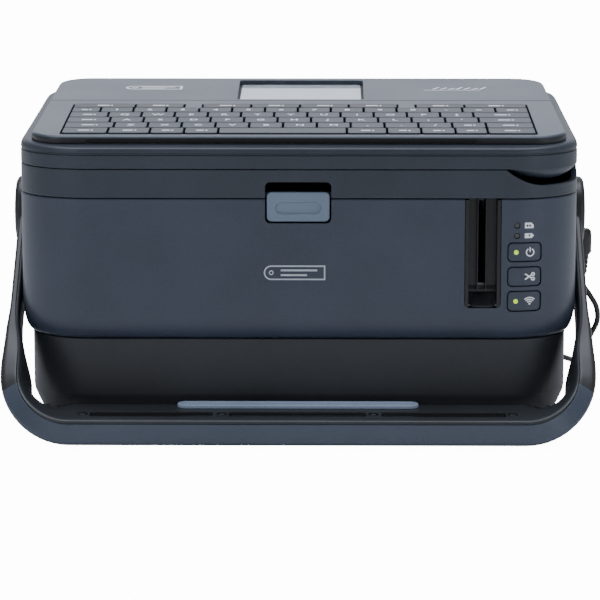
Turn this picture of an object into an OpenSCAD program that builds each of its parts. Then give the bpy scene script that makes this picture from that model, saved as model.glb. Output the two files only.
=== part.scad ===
// Desktop label maker: keyboard lid, tape bay, side-pivoted carry handle and power lead.
// Millimetres, +Z up, the front faces -Y, origin at the middle of the footprint on the table.

/* [Case] */
// Width across the sides of the case
body_w = 279; // [276:1:282]
// Depth from the front face to the rear face
body_d = 186; // [184:1:188]
// Place of the front face along Y
front_y = -73; // [-75:1:-72]
// Radius of the four vertical corners
corner_r = 35; // [32:1:38]
// Wall thickness of the mouldings
wall = 2.6; // [2:0.1:3]
// Height of the seam between base and case
base_top = 46; // [44:1:48]
// Height of the case's top edge
case_top = 116.7; // [116:0.1:118]
// Height of the cover's top edge
cover_top = 131.1; // [130:0.1:132]
// How far the base stands in from the case
base_inset = 5; // [4:0.5:6]
// Height of the rubber feet
foot_h = 3; // [2:0.5:4]

/* [Keyboard] */
// Slope of the keyboard and its rim, in degrees
tilt = 3.85; // [3.5:0.05:4.2]
// Height of the keyboard panel's front edge
panel_z = 146.3; // [145:0.1:148]
// How far the panel stands above the deck's rim
panel_rise = 4; // [3:0.5:5]
// Width of one letter key's cell
key_pitch = 17; // [16.9:0.1:17.1]
// Gap between neighbouring keys
key_gap = 1.1; // [0.8:0.1:1.5]
// How far a key travels
key_travel = 1.8; // [1:0.1:2]
// Width of the display opening
lcd_w = 67; // [60:1:72]

/* [Handle] */
// Height of the handle's pivot above the table
pivot_z = 98; // [96:1:100]
// Place of the pivot along Y
pivot_y = 17; // [16:1:18]
// Middle of an arm, measured from the middle of the case
arm_x = 143; // [143:0.1:144]
// Thickness of an arm
arm_t = 5.6; // [5:0.1:6]
// Width of an arm
arm_w = 22; // [18:1:24]
// Depth of the crossbar that rests before the case
bar_w = 38.5; // [34:0.5:39]
// Thickness of the crossbar
bar_t = 14; // [12:0.1:14.5]
// Radius of the handle's corners along their middle line
bend_r = 29; // [24:1:30]

/* [Mechanism] */
// Module of the feed gears
gear_module = 0.8; // [0.8:0.1:0.8]
// Radius of the rubber platen roller
platen_r = 6; // [5:0.5:6]
// Radius of the tape roll in the cassette
tape_roll_r = 26; // [20:1:27]

/* [Power lead] */
// Diameter of the lead
cord_d = 3; // [3:0.1:3.2]
// Middle radius of the stored coil
coil_r = 18; // [17:1:20]

/* [Hidden] */
eps = 0.01;
fit = 0.05;
seam = 0.3;
rear_y = front_y + body_d;
mid_y = (front_y + rear_y) / 2;
cover_z = case_top + seam;
deck_z = cover_top + seam;

// colours of the mouldings
case_grey = "#3f4550";
lid_grey = "#363b42";
panel_grey = "#5a626d";
bar_grey = "#5b6472";
near_black = "#17181a";
steel = "#a9adb2";

// ---- plan outline ----

module outline(inset = 0) {
    translate([0, mid_y])
        offset(r = corner_r - inset, $fn = 64)
            square([body_w - 2 * corner_r, body_d - 2 * corner_r], center = true);
}

module slab(z0, z1, inset = 0) {
    translate([0, 0, z0])
        linear_extrude(z1 - z0)
            outline(inset);
}

// rounded block between two corners, upright edges rounded
module block(low, high, r = 0) {
    size = high - low;
    translate(low)
        linear_extrude(size[2])
            if (r > 0)
                translate([r, r])
                    offset(r = r, $fn = 32)
                        square([size[0] - 2 * r, size[1] - 2 * r]);
            else
                square([size[0], size[1]]);
}

// rounded rectangle seen from the front, pushed through along Y
module front_window(x0, x1, z0, z1, r, y0, y1) {
    translate([x0 + r, y1, z0 + r])
        rotate([90, 0, 0])
            linear_extrude(y1 - y0)
                offset(r = r, $fn = 24)
                    square([x1 - x0 - 2 * r, z1 - z0 - 2 * r]);
}

// ---- hinges across the rear ----

hinge_y = rear_y - 3.5;
knuckle_r = 3.5;
pin_r = 1.5;
channel = 4.1;
knuckle_len = 19.6;
knuckle_step = 20;
knuckle_count = 9;
cover_axis_z = cover_z + 2.5;
deck_axis_z = deck_z + 2.2;

function knuckle_x(i) = (i - knuckle_count / 2) * knuckle_step + (knuckle_step - knuckle_len) / 2;

module hinge_channel(axis_z) {
    translate([-body_w, hinge_y - channel, axis_z - channel])
        cube([2 * body_w, 3 * channel, 2 * channel]);
}

// up = 1 when the webs rise to the part above, -1 when they stand on the part below
module knuckles(axis_z, first, up) {
    web = 2 * knuckle_r - 1.4;
    for (i = [first : 2 : knuckle_count - 1])
        translate([knuckle_x(i), hinge_y, axis_z]) {
            rotate([0, 90, 0])
                cylinder(r = knuckle_r, h = knuckle_len, $fn = 48);
            translate([0, -web / 2, up > 0 ? 0 : -channel - 0.5])
                cube([knuckle_len, web, channel + 0.5]);
        }
}

module hinge_bore(axis_z, r) {
    translate([-body_w / 2, hinge_y, axis_z])
        rotate([0, 90, 0])
            cylinder(r = r, h = body_w, $fn = 48);
}

module hinge_pin(axis_z) {
    translate([knuckle_x(0), hinge_y, axis_z])
        rotate([0, 90, 0])
            cylinder(r = pin_r, h = knuckle_count * knuckle_step, $fn = 48);
}

// ---- front controls ----

latch_w = 31;
latch_z0 = 105.4;
latch_z1 = 120;
chute_x0 = 82;
chute_x1 = 100;
chute_z = 62.4;
button_x0 = 103.5;
button_x1 = 119.7;
button_zs = [[85.8, 94.8], [73.5, 82.7], [61, 70.6]];
led_x = 107.8;
led_zs = [103.6, 98.5];
led_r = 1.25;

module latch_window(clearance = 0.8) {
    front_window(-latch_w / 2 - clearance, latch_w / 2 + clearance, latch_z0 - clearance,
                 latch_z1 + clearance, 2.5, front_y - 1, front_y + 6);
}

module button_window(zs, clearance = 0) {
    front_window(button_x0 - clearance, button_x1 + clearance, zs[0] - clearance,
                 zs[1] + clearance, 2, front_y - 1, front_y + 12);
}

// ---- base and case ----

foot_xy = [[-104, -34], [104, -34], [-104, 78], [104, 78]];
base_screw_xy = [[-112, -6], [112, -6], [-112, 52], [112, 52], [0, -52], [0, 92]];
boss_r = 5;
screw_r = 1.6;
screw_head_r = 3.2;
base_floor = foot_h + 3;
base_knee = foot_h + 14;

module base_tray() {
    color("#26292d")
    difference() {
        union() {
            difference() {
                union() {
                    hull() {
                        slab(foot_h, foot_h + 0.5, base_inset + 6);
                        slab(base_knee, base_knee + 0.5, base_inset);
                    }
                    slab(base_knee, base_top, base_inset);
                }
                slab(base_floor, base_knee, base_inset + 6 + wall);
                slab(base_knee - eps, base_top + 1, base_inset + wall);
            }
            for (p = base_screw_xy)
                translate([p[0], p[1], base_floor - eps])
                    cylinder(r = boss_r, h = base_top - base_floor, $fn = 32);
        }
        for (p = base_screw_xy)
            translate([p[0], p[1], foot_h - 1]) {
                cylinder(r = screw_head_r, h = 2.6, $fn = 32);
                cylinder(r = screw_r, h = 60, $fn = 32);
            }
    }
}

inner_deck_z = 109;
inner_deck_t = 2.5;
flare_top = base_top + 16;
bin_low = [-128, -56, 56];
bin_high = [-22, 92, inner_deck_z + inner_deck_t];
bay_low = [28, -57, 66];
bay_high = [126, 42, inner_deck_z + inner_deck_t];
jack_y = 57;
jack_z = 76;
usb_x = -70;
usb_z = 76;

module case_shell() {
    difference() {
        union() {
            hull() {
                slab(base_top, base_top + 0.2, base_inset);
                slab(flare_top - 0.2, flare_top, 0);
            }
            slab(flare_top, case_top, 0);
        }
        hull() {
            slab(base_top - 1, base_top + 0.2, base_inset + wall);
            slab(flare_top - 0.2, flare_top + eps, wall);
        }
        slab(flare_top, case_top + 1, wall);
    }
}

// shelf inside the case, with the openings for the bin, the cassette bay, the latch and the chute
module inner_deck() {
    gap = [0.2, 0.2, 0];
    above = [0, 0, 10];
    difference() {
        slab(inner_deck_z, inner_deck_z + inner_deck_t, wall / 2);
        block([bin_low[0], bin_low[1], 100] - gap, bin_high + gap + above, 26);
        block([bay_low[0], bay_low[1], 100] - gap, bay_high + gap + above, 3);
        block([-20, front_y, 100], [20, -57.5, 120]);
        block([chute_x0, front_y - 1, 100], [button_x1 + 3, bay_low[1] + 1, 120]);
    }
}

module main_case() {
    color(case_grey)
    difference() {
        union() {
            difference() {
                union() {
                    case_shell();
                    inner_deck();
                    lever_ears();
                }
                hinge_channel(cover_axis_z);
            }
            knuckles(cover_axis_z, 0, -1);
        }
        hinge_bore(cover_axis_z, pin_r);
        latch_window();
        block([chute_x0, front_y - 1, chute_z], [chute_x1, front_y + 8, 130]);
        for (zs = button_zs)
            button_window(zs, 0.35);
        for (z = led_zs)
            translate([led_x, front_y + 10, z])
                rotate([90, 0, 0])
                    cylinder(r = led_r, h = 12, $fn = 32);
        for (side = [-1, 1])
            translate([side * body_w / 2, pivot_y, pivot_z])
                rotate([0, 90, 0])
                    cylinder(r = trunnion_r, h = 12, center = true, $fn = 48);
        translate([body_w / 2 - 6, jack_y, jack_z])
            rotate([0, 90, 0])
                cylinder(r = 4.5, h = 10, $fn = 48);
        block([usb_x - 7, rear_y - 6, usb_z - 6.5], [usb_x + 7, rear_y + 1, usb_z + 6.5]);
    }
}

module storage_bin() {
    color("#2c3036")
    difference() {
        union() {
            block(bin_low, bin_high, 26);
            block([bin_low[0] - 3, bin_low[1] - 3, bin_high[2]], bin_high + [3, 3, 1.8], 28);
        }
        block(bin_low + [2, 2, 2], bin_high + [-2, -2, 5], 24);
    }
}

module rubber_feet() {
    color("#141414")
    for (p = foot_xy)
        translate([p[0], p[1], 0])
            cylinder(r = 9, h = foot_h, $fn = 48);
}

module base_screws() {
    color(steel)
    for (p = base_screw_xy)
        translate([p[0], p[1], foot_h + 0.2]) {
            cylinder(r = screw_head_r - 0.1, h = 1.4, $fn = 32);
            cylinder(r = screw_r, h = 34, $fn = 32);
        }
}

// ---- tape path and feed train ----

platen_xy = [97.5, -45];
idler_xy = [97.5, -21];
pinion_xy = [78.3, -21];
ribbon_xy = [97.5, 5.4];
idler_teeth = 36;
platen_teeth = 24;
pinion_teeth = 12;
ribbon_teeth = 30;
gear_z = 56;
gear_h = 5;
plate_z = 64;
plate_t = 1.5;
tape_x = 91;
cassette_low = [35, -36, 68.3];
cassette_high = [121, 32, 112];
roll_xy = [63, -2];
spindle_r = 7.9;
motor_r = 17.5;

// a tooth is a trapezium: wide at the root, narrow at the tip
function gear_points(teeth) = [
    for (i = [0 : teeth - 1], c = [[-1, -1.25, 118], [-1, 0, 76], [-1, 0.85, 42],
                                  [1, 0.85, 42], [1, 0, 76], [1, -1.25, 118]])
        let (a = 360 * i / teeth + c[0] * c[2] / teeth, r = gear_module * (teeth / 2 + c[1]))
            [r * cos(a), r * sin(a)]
];

// turn that puts gear j in mesh with gear i, which lies towards angle d from i and is unturned
function mesh_phase(d, ni, nj) = d + 180 + 180 / nj + d * ni / nj;

module gear(xy, teeth, phase, bore) {
    translate([xy[0], xy[1], gear_z])
        rotate(phase)
            difference() {
                linear_extrude(gear_h)
                    polygon(gear_points(teeth));
                translate([0, 0, -1])
                    cylinder(r = bore, h = gear_h + 2, $fn = 32);
            }
}

module motor_pinion() {
    color("#d8d2c0")
    union() {
        gear(pinion_xy, pinion_teeth, mesh_phase(180, idler_teeth, pinion_teeth), 1.4);
        translate([pinion_xy[0], pinion_xy[1], 46])
            cylinder(r = 1.5, h = 16, $fn = 32);
    }
}

module idler_gear() {
    color("#e6e2d6")
    gear(idler_xy, idler_teeth, 0, 2 + fit);
}

module platen_gear() {
    color("#e6e2d6")
    gear(platen_xy, platen_teeth, mesh_phase(-90, idler_teeth, platen_teeth), 2);
}

module platen_shaft() {
    color(steel)
    translate([platen_xy[0], platen_xy[1], 54])
        cylinder(r = 2, h = 55, $fn = 32);
}

module platen_roller() {
    color("#1d1d1f")
    translate([platen_xy[0], platen_xy[1], 70])
        difference() {
            cylinder(r = platen_r, h = 37, $fn = 64);
            translate([0, 0, -1])
                cylinder(r = 2, h = 40, $fn = 32);
        }
}

module ribbon_drive() {
    color("#e6e2d6")
    union() {
        gear(ribbon_xy, ribbon_teeth, mesh_phase(90, idler_teeth, ribbon_teeth), 1.5);
        translate([ribbon_xy[0], ribbon_xy[1], gear_z])
            cylinder(r = 2, h = 40, $fn = 32);
        for (a = [0 : 60 : 300])
            translate([ribbon_xy[0], ribbon_xy[1], 74])
                rotate(a)
                    translate([0, -0.5, 0])
                        cube([3.4, 1, 20]);
    }
}

module metal_chassis() {
    color(steel)
    union() {
        difference() {
            block([58, -54, plate_z], [122, 40, plate_z + plate_t], 3);
            for (p = [platen_xy, ribbon_xy])
                translate([p[0], p[1], plate_z - 1])
                    cylinder(r = 2 + fit, h = 4, $fn = 32);
        }
        translate([idler_xy[0], idler_xy[1], gear_z - 1])
            cylinder(r = 2, h = plate_z - gear_z + 1.5, $fn = 32);
        for (dy = [-20.5, 20.5])
            translate([pinion_xy[0], pinion_xy[1] + dy, 54])
                cylinder(r = 2.6, h = plate_z - 54 + 0.5, $fn = 32);
    }
}

module stepper_motor() {
    color("#8c9096")
    difference() {
        union() {
            translate([pinion_xy[0], pinion_xy[1], 28])
                cylinder(r = motor_r, h = 25, $fn = 64);
            block([pinion_xy[0] - 5, pinion_xy[1] - 24, 52.4], [pinion_xy[0] + 5, pinion_xy[1] + 24, 54], 3);
        }
        translate([pinion_xy[0], pinion_xy[1], 44])
            cylinder(r = 1.5 + fit, h = 12, $fn = 32);
    }
}

module mechanism_frame() {
    color(near_black)
    difference() {
        block(bay_low, bay_high, 3);
        block(bay_low + [2, 2, 2], bay_high + [-2, -2, 5], 2);
        translate([platen_xy[0], platen_xy[1], 60])
            cylinder(r = 5, h = 12, $fn = 32);
        translate([ribbon_xy[0], ribbon_xy[1], 60])
            cylinder(r = 5, h = 12, $fn = 32);
        block([tape_x - 3, bay_low[1] - 1, bay_low[2] + 4], [tape_x + 3, bay_low[1] + 3, 130]);
    }
}

module print_head() {
    color("#777c82")
    union() {
        block([84, -49.5, 69], [88, -40.5, 107]);
        block([87.5, -48, 71], [90.6, -42, 105], 1);
        for (z = [73 : 6 : 103])
            block([80, -49.5, z], [84.5, -40.5, z + 1.6]);
    }
}

module cutter_frame() {
    color(steel)
    difference() {
        block([76, -54.8, 68.3], [112, -53.6, 110]);
        block([tape_x - 2.5, -56, 72], [tape_x + 2.5, -52, 120]);
    }
}

module cutter_blade() {
    color("#c9ccd0")
    translate([0, -52.4, 0])
        rotate([90, 0, 0])
            linear_extrude(1)
                polygon([[93.5, 70], [112, 70], [112, 104], [97, 104]]);
}

module tape_exit_chute() {
    color("#121310")
    difference() {
        block([chute_x0 + 0.2, front_y + 0.4, chute_z + 0.3],
              [chute_x1 - 0.2, bay_low[1] - 0.3, case_top - 0.4]);
        block([chute_x0 + 2, front_y - 1, chute_z + 6], [chute_x1 - 2, front_y + 11, 130]);
        block([tape_x - 2, front_y + 10, chute_z + 8], [tape_x + 2, bay_low[1] + 1, 130]);
        translate([chute_x0 + 2, front_y - 0.5, chute_z + 1.5])
            rotate([-24, 0, 0])
                translate([0, -8, 0])
                    cube([chute_x1 - chute_x0 - 4, 16, 12]);
    }
}

module cassette_case() {
    color("#c9ccc8")
    difference() {
        union() {
            difference() {
                block(cassette_low, cassette_high - [0, 0, 1.5], 5);
                block(cassette_low + [1.5, 1.5, 1.5], cassette_high - [1.5, 1.5, -1], 4);
            }
            translate([roll_xy[0], roll_xy[1], cassette_low[2] + 1])
                cylinder(r = spindle_r, h = 40, $fn = 48);
        }
        translate([ribbon_xy[0], ribbon_xy[1], cassette_low[2] - 1])
            cylinder(r = 4.5, h = 6, $fn = 32);
        translate([roll_xy[0], roll_xy[1], cassette_low[2] - 1])
            cylinder(r = spindle_r - 2, h = 44, $fn = 48);
        block([tape_x - 1.5, cassette_low[1] - 1, cassette_low[2] + 3],
              [tape_x + 1.5, cassette_low[1] + 3, 130]);
    }
}

module cassette_lid() {
    color("#e3e5e1")
    difference() {
        block([cassette_low[0], cassette_low[1], cassette_high[2] - 1.5], cassette_high, 5);
        translate([roll_xy[0], roll_xy[1], 100])
            cylinder(r = spindle_r - 2, h = 20, $fn = 48);
    }
}

module tape_roll() {
    color("#f2f2ee")
    translate([roll_xy[0], roll_xy[1], 72])
        difference() {
            cylinder(r = tape_roll_r, h = 36, $fn = 96);
            translate([0, 0, -1])
                cylinder(r = spindle_r + fit, h = 40, $fn = 48);
        }
}

// ---- boards and sockets ----

module main_board() {
    color("#1f5a3a")
    union() {
        block([-70, -36, 14], [60, 74, 15.6], 2);
        block([-30, 0, 15.5], [-6, 24, 17.5]);
        block([10, 20, 15.5], [26, 34, 17]);
        block([-60, 50, 15.5], [-40, 66, 25]);
        block([34, -30, 15.5], [52, -14, 22]);
        for (x = [-56 : 14 : -28])
            translate([x, -22, 15.5])
                cylinder(r = 4, h = 12, $fn = 32);
    }
}

module control_board() {
    color("#1f5a3a")
    union() {
        block([101, -62.9, 60], [121, -61.4, 107]);
        for (zs = button_zs)
            block([109, -63.9, (zs[0] + zs[1]) / 2 - 3], [115, -62.8, (zs[0] + zs[1]) / 2 + 3]);
        for (z = led_zs)
            block([led_x - 2, -63.9, z - 2], [led_x + 2, -62.8, z + 2]);
    }
}

module indicator_lenses() {
    color("#2b2f34")
    for (z = led_zs)
        translate([led_x, -65, z])
            rotate([90, 0, 0])
                cylinder(r = led_r - 0.02, h = 6.9, $fn = 32);
}

module power_jack() {
    color("#1a1a1c")
    difference() {
        block([121, jack_y - 6, jack_z - 6], [body_w / 2 - wall - 0.2, jack_y + 6, jack_z + 6]);
        translate([124, jack_y, jack_z])
            rotate([0, 90, 0])
                cylinder(r = 2.75, h = 20, $fn = 32);
    }
}

module usb_socket() {
    color("#b8bcc0")
    difference() {
        block([usb_x - 6.6, rear_y - 18, usb_z - 6.1], [usb_x + 6.6, rear_y - 0.5, usb_z + 6.1]);
        block([usb_x - 4.2, rear_y - 14, usb_z - 3.9], [usb_x + 4.2, rear_y + 1, usb_z + 3.9]);
    }
}

module front_button(zs) {
    difference() {
        intersection() {
            slab(zs[0] - 1, zs[1] + 1);
            button_window(zs);
        }
        difference() {
            slab(zs[0] - 2, zs[1] + 2, wall);
            block([109.5, -80, (zs[0] + zs[1]) / 2 - 2.5], [114.5, -65.4, (zs[0] + zs[1]) / 2 + 2.5]);
        }
    }
}

module power_button() {
    color(panel_grey)
    front_button(button_zs[0]);
}

module cut_button() {
    color(panel_grey)
    front_button(button_zs[1]);
}

module wireless_button() {
    color(panel_grey)
    front_button(button_zs[2]);
}

// ---- latch ----

lever_axis = [-63, 96];
lever_r = 2.6;
axle_r = 1.2;
lip_x0 = 11;
lip_x1 = 15;
lip_y = -64.6;
lip_z = 108.5;
// height of the bar on the button that pushes the lever
push_z = 109.2;

module latch_button() {
    color("#6f7c8c")
    difference() {
        union() {
            front_window(-latch_w / 2, latch_w / 2, latch_z0, latch_z1, 2, front_y, front_y + 2.8);
            block([-9, front_y + 2.5, push_z], [9, lever_axis[0] - 1.3, push_z + 2]);
        }
        front_window(-11.3, 11.3, 109, 115, 2.9, front_y - 1, front_y + 0.6);
    }
}

module latch_lever() {
    color(near_black)
    union() {
        translate([-8, lever_axis[0], lever_axis[1]])
            rotate([0, 90, 0])
                cylinder(r = lever_r, h = 16, $fn = 32);
        translate([-11, lever_axis[0], lever_axis[1]])
            rotate([0, 90, 0])
                cylinder(r = axle_r, h = 22, $fn = 32);
        block([-8, lever_axis[0] - 1, lever_axis[1]], [8, lever_axis[0] + 1, 113]);
        block([-lip_x1, lever_axis[0] - 1, 111], [lip_x1, lever_axis[0] + 1, 113]);
    }
}

// ears on the front wall that carry the lever's axle
module lever_ears() {
    for (x = [-10.6, 8.6])
        difference() {
            block([x, front_y + 1, 92], [x + 2, lever_axis[0] + 4, 100]);
            translate([x - 1, lever_axis[0], lever_axis[1]])
                rotate([0, 90, 0])
                    cylinder(r = axle_r + fit, h = 4, $fn = 32);
        }
}

// two lips that hang from the cover and that the lever's nose holds
module catch_lips() {
    for (x = [-lip_x1, lip_x0]) {
        block([x, lip_y - 2, lip_z], [x + lip_x1 - lip_x0, lip_y - 0.6, cover_z + 1]);
        block([x, lip_y - 2, lip_z], [x + lip_x1 - lip_x0, lip_y, lip_z + 1.7]);
    }
}

// ---- cover ----

scoop_turn = 30;
scoop_r = 27.8;
scoop_z = cover_top - 8 + scoop_r;
bulge_r = 25;
bulge_z = deck_z - 5 + bulge_r;

// cylinder that runs out through the front right corner
module corner_cylinder(r, z) {
    translate([body_w / 2 - corner_r, front_y + corner_r, z])
        rotate([0, 0, scoop_turn])
            rotate([90, 0, 0])
                translate([0, 0, corner_r - 12])
                    cylinder(r = r, h = 24, $fn = 96);
}

module cover_frame() {
    color(lid_grey)
    difference() {
        union() {
            difference() {
                slab(cover_z, cover_top);
                intersection() {
                    slab(cover_z + 2.4, cover_top + 1, 3);
                    block([-body_w, front_y - 5, 0], [body_w, hinge_y - channel - 3, 200]);
                }
                hinge_channel(cover_axis_z);
                hinge_channel(deck_axis_z);
                corner_cylinder(scoop_r, scoop_z);
            }
            knuckles(cover_axis_z, 1, 1);
            knuckles(deck_axis_z, 0, -1);
            catch_lips();
        }
        hinge_bore(cover_axis_z, pin_r + fit);
        hinge_bore(deck_axis_z, pin_r);
        latch_window();
    }
}

module cover_hinge_pin() {
    color(steel)
    hinge_pin(cover_axis_z);
}

module deck_hinge_pin() {
    color(steel)
    hinge_pin(deck_axis_z);
}

// ---- keyboard deck ----

panel_y = front_y + 10;
panel_len = 174.5;
rim_w = -panel_rise;
panel_split = 102.2;

// frame of the sloping panel: x across, y up the slope, z = 0 on the panel's top
module on_slope() {
    translate([0, panel_y, panel_z])
        rotate([tilt, 0, 0])
            children();
}

module panel_outline(inset = 0) {
    r = 18;
    offset(r = r - inset, $fn = 64)
        polygon([[-134 + r, r], [134 - r, r], [132.5 - r, panel_len - r], [-132.5 + r, panel_len - r]]);
}

module deck_shell() {
    color(lid_grey)
    difference() {
        union() {
            difference() {
                slab(deck_z, panel_z + 20);
                on_slope()
                    translate([-200, -60, rim_w])
                        cube([400, 300, 60]);
                intersection() {
                    slab(deck_z + 2, panel_z + 30, 3);
                    on_slope()
                        translate([-200, -60, -103])
                            cube([400, 300, 100 + rim_w]);
                    block([-body_w, front_y - 5, 0], [body_w, hinge_y - channel - 3, 200]);
                }
                on_slope()
                    translate([0, 0, -12])
                        linear_extrude(30)
                            panel_outline(6);
                hinge_channel(deck_axis_z);
            }
            intersection() {
                corner_cylinder(bulge_r, bulge_z);
                difference() {
                    slab(deck_z - 6, deck_z + 1);
                    slab(deck_z - 7, deck_z + 2, 4);
                }
            }
            knuckles(deck_axis_z, 1, 1);
        }
        hinge_bore(deck_axis_z, pin_r + fit);
    }
}

lcd_v0 = 106.2;
lcd_v1 = 165.2;
lcd_frame = 3;

module display_panel() {
    color("#7d8692")
    on_slope()
        difference() {
            translate([0, 0, rim_w])
                linear_extrude(panel_rise)
                    intersection() {
                        panel_outline();
                        translate([-200, panel_split + seam])
                            square([400, 200]);
                    }
            block([-lcd_w / 2, lcd_v0, -10], [lcd_w / 2, lcd_v1, 10], 2);
            block([-lcd_w / 2 - lcd_frame, lcd_v0 - lcd_frame, -10],
                  [lcd_w / 2 + lcd_frame, lcd_v1 + lcd_frame, -2.2]);
        }
}

module lcd_window() {
    color("#d6dce4")
    on_slope()
        block([-lcd_w / 2 - 2.8, lcd_v0 - 2.8, -3.2], [lcd_w / 2 + 2.8, lcd_v1 + 2.8, -2.25], 1);
}

module lcd_screen() {
    color("#b9c4b6")
    on_slope()
        block([-lcd_w / 2 - 2.5, lcd_v0 - 2.5, -6.2], [lcd_w / 2 + 2.5, lcd_v1 + 2.5, -3.25]);
}

// ---- keys ----

field_w = 236;
rows = [7, 21.5, 36, 50.5, 65, 78.5, 90];
function letters(n) = [for (i = [1 : n]) key_pitch];
blank = 9.4;
// widths of the cells from the left, row by row from the front; a negative width is a blank
cells = [
    [23, 21, 17, 17, 64, 20, 17, 17, 16, 24],
    concat([25], letters(11), [24]),
    concat([22], letters(11), [27]),
    concat([20], letters(11), [29]),
    concat([15], letters(13)),
    [32.4, 25.4, -blank, 25.4, 25.4, 25.4, 25.4, -blank, 25.4, 32.4]
];
key_top = 0.6;
key_low = -3.2;

function cell_x(row, i) = i == 0 ? -field_w / 2 : cell_x(row, i - 1) + abs(cells[row][i - 1]);

module keys(row, first, last) {
    on_slope()
        for (i = [first : last])
            if (cells[row][i] > 0)
                block([cell_x(row, i), rows[row], key_low] + [key_gap, key_gap, 0] / 2,
                      [cell_x(row, i) + cells[row][i], rows[row + 1], key_top] - [key_gap, key_gap, 0] / 2,
                      1.2);
}

module function_keys() {
    color("#2f343a")
    keys(5, 0, len(cells[5]) - 1);
}

module number_keys() {
    color("#5f6a72")
    keys(4, 0, len(cells[4]) - 1);
}

module upper_letter_keys() {
    color("#5f6a72")
    keys(3, 0, len(cells[3]) - 1);
}

module middle_letter_keys() {
    color("#5f6a72")
    keys(2, 0, len(cells[2]) - 2);
}

module enter_key() {
    color("#5f6a72")
    keys(2, len(cells[2]) - 1, len(cells[2]) - 1);
}

module lower_letter_keys() {
    color("#5f6a72")
    keys(1, 0, len(cells[1]) - 1);
}

space_cell = 4;

module bottom_row_keys() {
    color("#5f6a72")
    union() {
        keys(0, 0, space_cell - 1);
        keys(0, space_cell + 1, len(cells[0]) - 1);
    }
}

module space_bar() {
    color("#5f6a72")
    keys(0, space_cell, space_cell);
}

module keyboard_bezel() {
    color(panel_grey)
    on_slope()
        translate([0, 0, rim_w])
            linear_extrude(panel_rise)
                difference() {
                    intersection() {
                        panel_outline();
                        translate([-200, -10])
                            square([400, 10 + panel_split]);
                    }
                    difference() {
                        translate([-field_w / 2 - 0.5, rows[0] - 0.5])
                            square([field_w + 1, rows[6] - rows[0] + 1]);
                        for (i = [2, 7])
                            translate([cell_x(5, i) + 0.4, rows[5] + 0.4])
                                square([blank - 0.8, 20]);
                    }
                }
}

board_screw_v = [18, 50, 82];
board_screw_x = 121.5;

module dome_mat() {
    color("#26282b")
    on_slope()
        block([-118, rows[0], key_low - key_travel - 1.4], [118, rows[6], key_low - key_travel - 0.2], 2);
}

module keyboard_board() {
    color("#1f5a3a")
    on_slope()
        difference() {
            block([-124.5, 10, -8], [124.5, 100, -6.45], 2);
            for (x = [-board_screw_x, board_screw_x], v = board_screw_v)
                translate([x, v, -9])
                    cylinder(r = 1.3, h = 4, $fn = 32);
        }
}

module deck_screws() {
    color(steel)
    on_slope()
        for (x = [-board_screw_x, board_screw_x], v = board_screw_v)
            translate([x, v, -9.6]) {
                cylinder(r = 2.6, h = 1.6, $fn = 32);
                cylinder(r = 1.3, h = 5.4, $fn = 32);
            }
}

// ---- carry handle ----

trunnion_r = 5;
hub_r = 18;
hub_x0 = body_w / 2 + 0.4;
hub_x1 = 148.3;
bar_y = -93.75;
bar_z = 7.5;
// thickness at the low end of the straight arms; the rest comes in over the bend
low_t = 11.7;
bar_s = norm([bar_y - pivot_y, bar_z - pivot_z]);
arm_angle = atan2(pivot_z - bar_z, pivot_y - bar_y);
liner_t = 2;
ring_points = 20;
// 1 is an ellipse, smaller is squarer
corner_power = 0.55;

function smooth(t) = let (c = min(1, max(0, t))) c * c * (3 - 2 * c);

last_s = bar_s - bend_r;
tuck = 2.8;
// the arm's middle line draws in a little towards the bend
function line_x(s) = arm_x - tuck * smooth((s - 85) / (last_s - 85));

// stations along half of the handle: [x, s, angle of the bend], s runs from the pivot along the arm
stations = concat(
    [for (s = [12 : 14 : last_s - 6]) [line_x(s), s, 0]],
    [for (a = [0 : 10 : 90]) [line_x(last_s) - bend_r * (1 - cos(a)), last_s + bend_r * sin(a), a]]
);

// how far a station has turned from arm (0) to crossbar (1)
function turned(p) = 0.2 * smooth((p[1] - 90) / (last_s - 90)) + 0.8 * smooth(p[2] / 90);
function half_t(p) = (arm_t + (low_t - arm_t) * smooth((p[1] - 70) / (last_s - 70))
                      + (bar_t - low_t) * smooth(p[2] / 90)) / 2;
function half_w(p) = (arm_w + (bar_w - arm_w) * turned(p)) / 2;
function signed_root(c, n) = sign(c) * pow(abs(c), n);

// one ring of the bar's section, keep = -1 for the shell below the parting face, 1 for the liner above
function ring(p, side, keep) =
    let (roll = (90 - arm_angle) * turned(p),
         split = asin(pow(1 - liner_t / half_t(p), 1 / corner_power)),
         first = keep > 0 ? split : 180 - split,
         span = keep > 0 ? 180 - 2 * split : 180 + 2 * split,
         along = [0, -cos(arm_angle), -sin(arm_angle)],
         face = [0, -sin(arm_angle), cos(arm_angle)],
         inward = [-side * cos(p[2]), 0, 0] - sin(p[2]) * along,
         wide = cos(roll) * face - sin(roll) * inward,
         thin = cos(roll) * inward + sin(roll) * face,
         centre = [side * p[0], pivot_y, pivot_z] + p[1] * along)
    [for (i = [0 : ring_points - 1])
        let (a = first + span * i / (ring_points - 1))
            centre + half_w(p) * signed_root(cos(a), corner_power) * wide
                   + half_t(p) * signed_root(sin(a), corner_power) * thin];

function reversed(list) = [for (i = [len(list) - 1 : -1 : 0]) list[i]];

// the rings run from the left hub round to the right one
function bar_rings(keep) = concat(
    [for (p = stations) ring(p, -1, keep)],
    [for (p = reversed(stations)) ring(p, 1, keep)]
);

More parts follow.
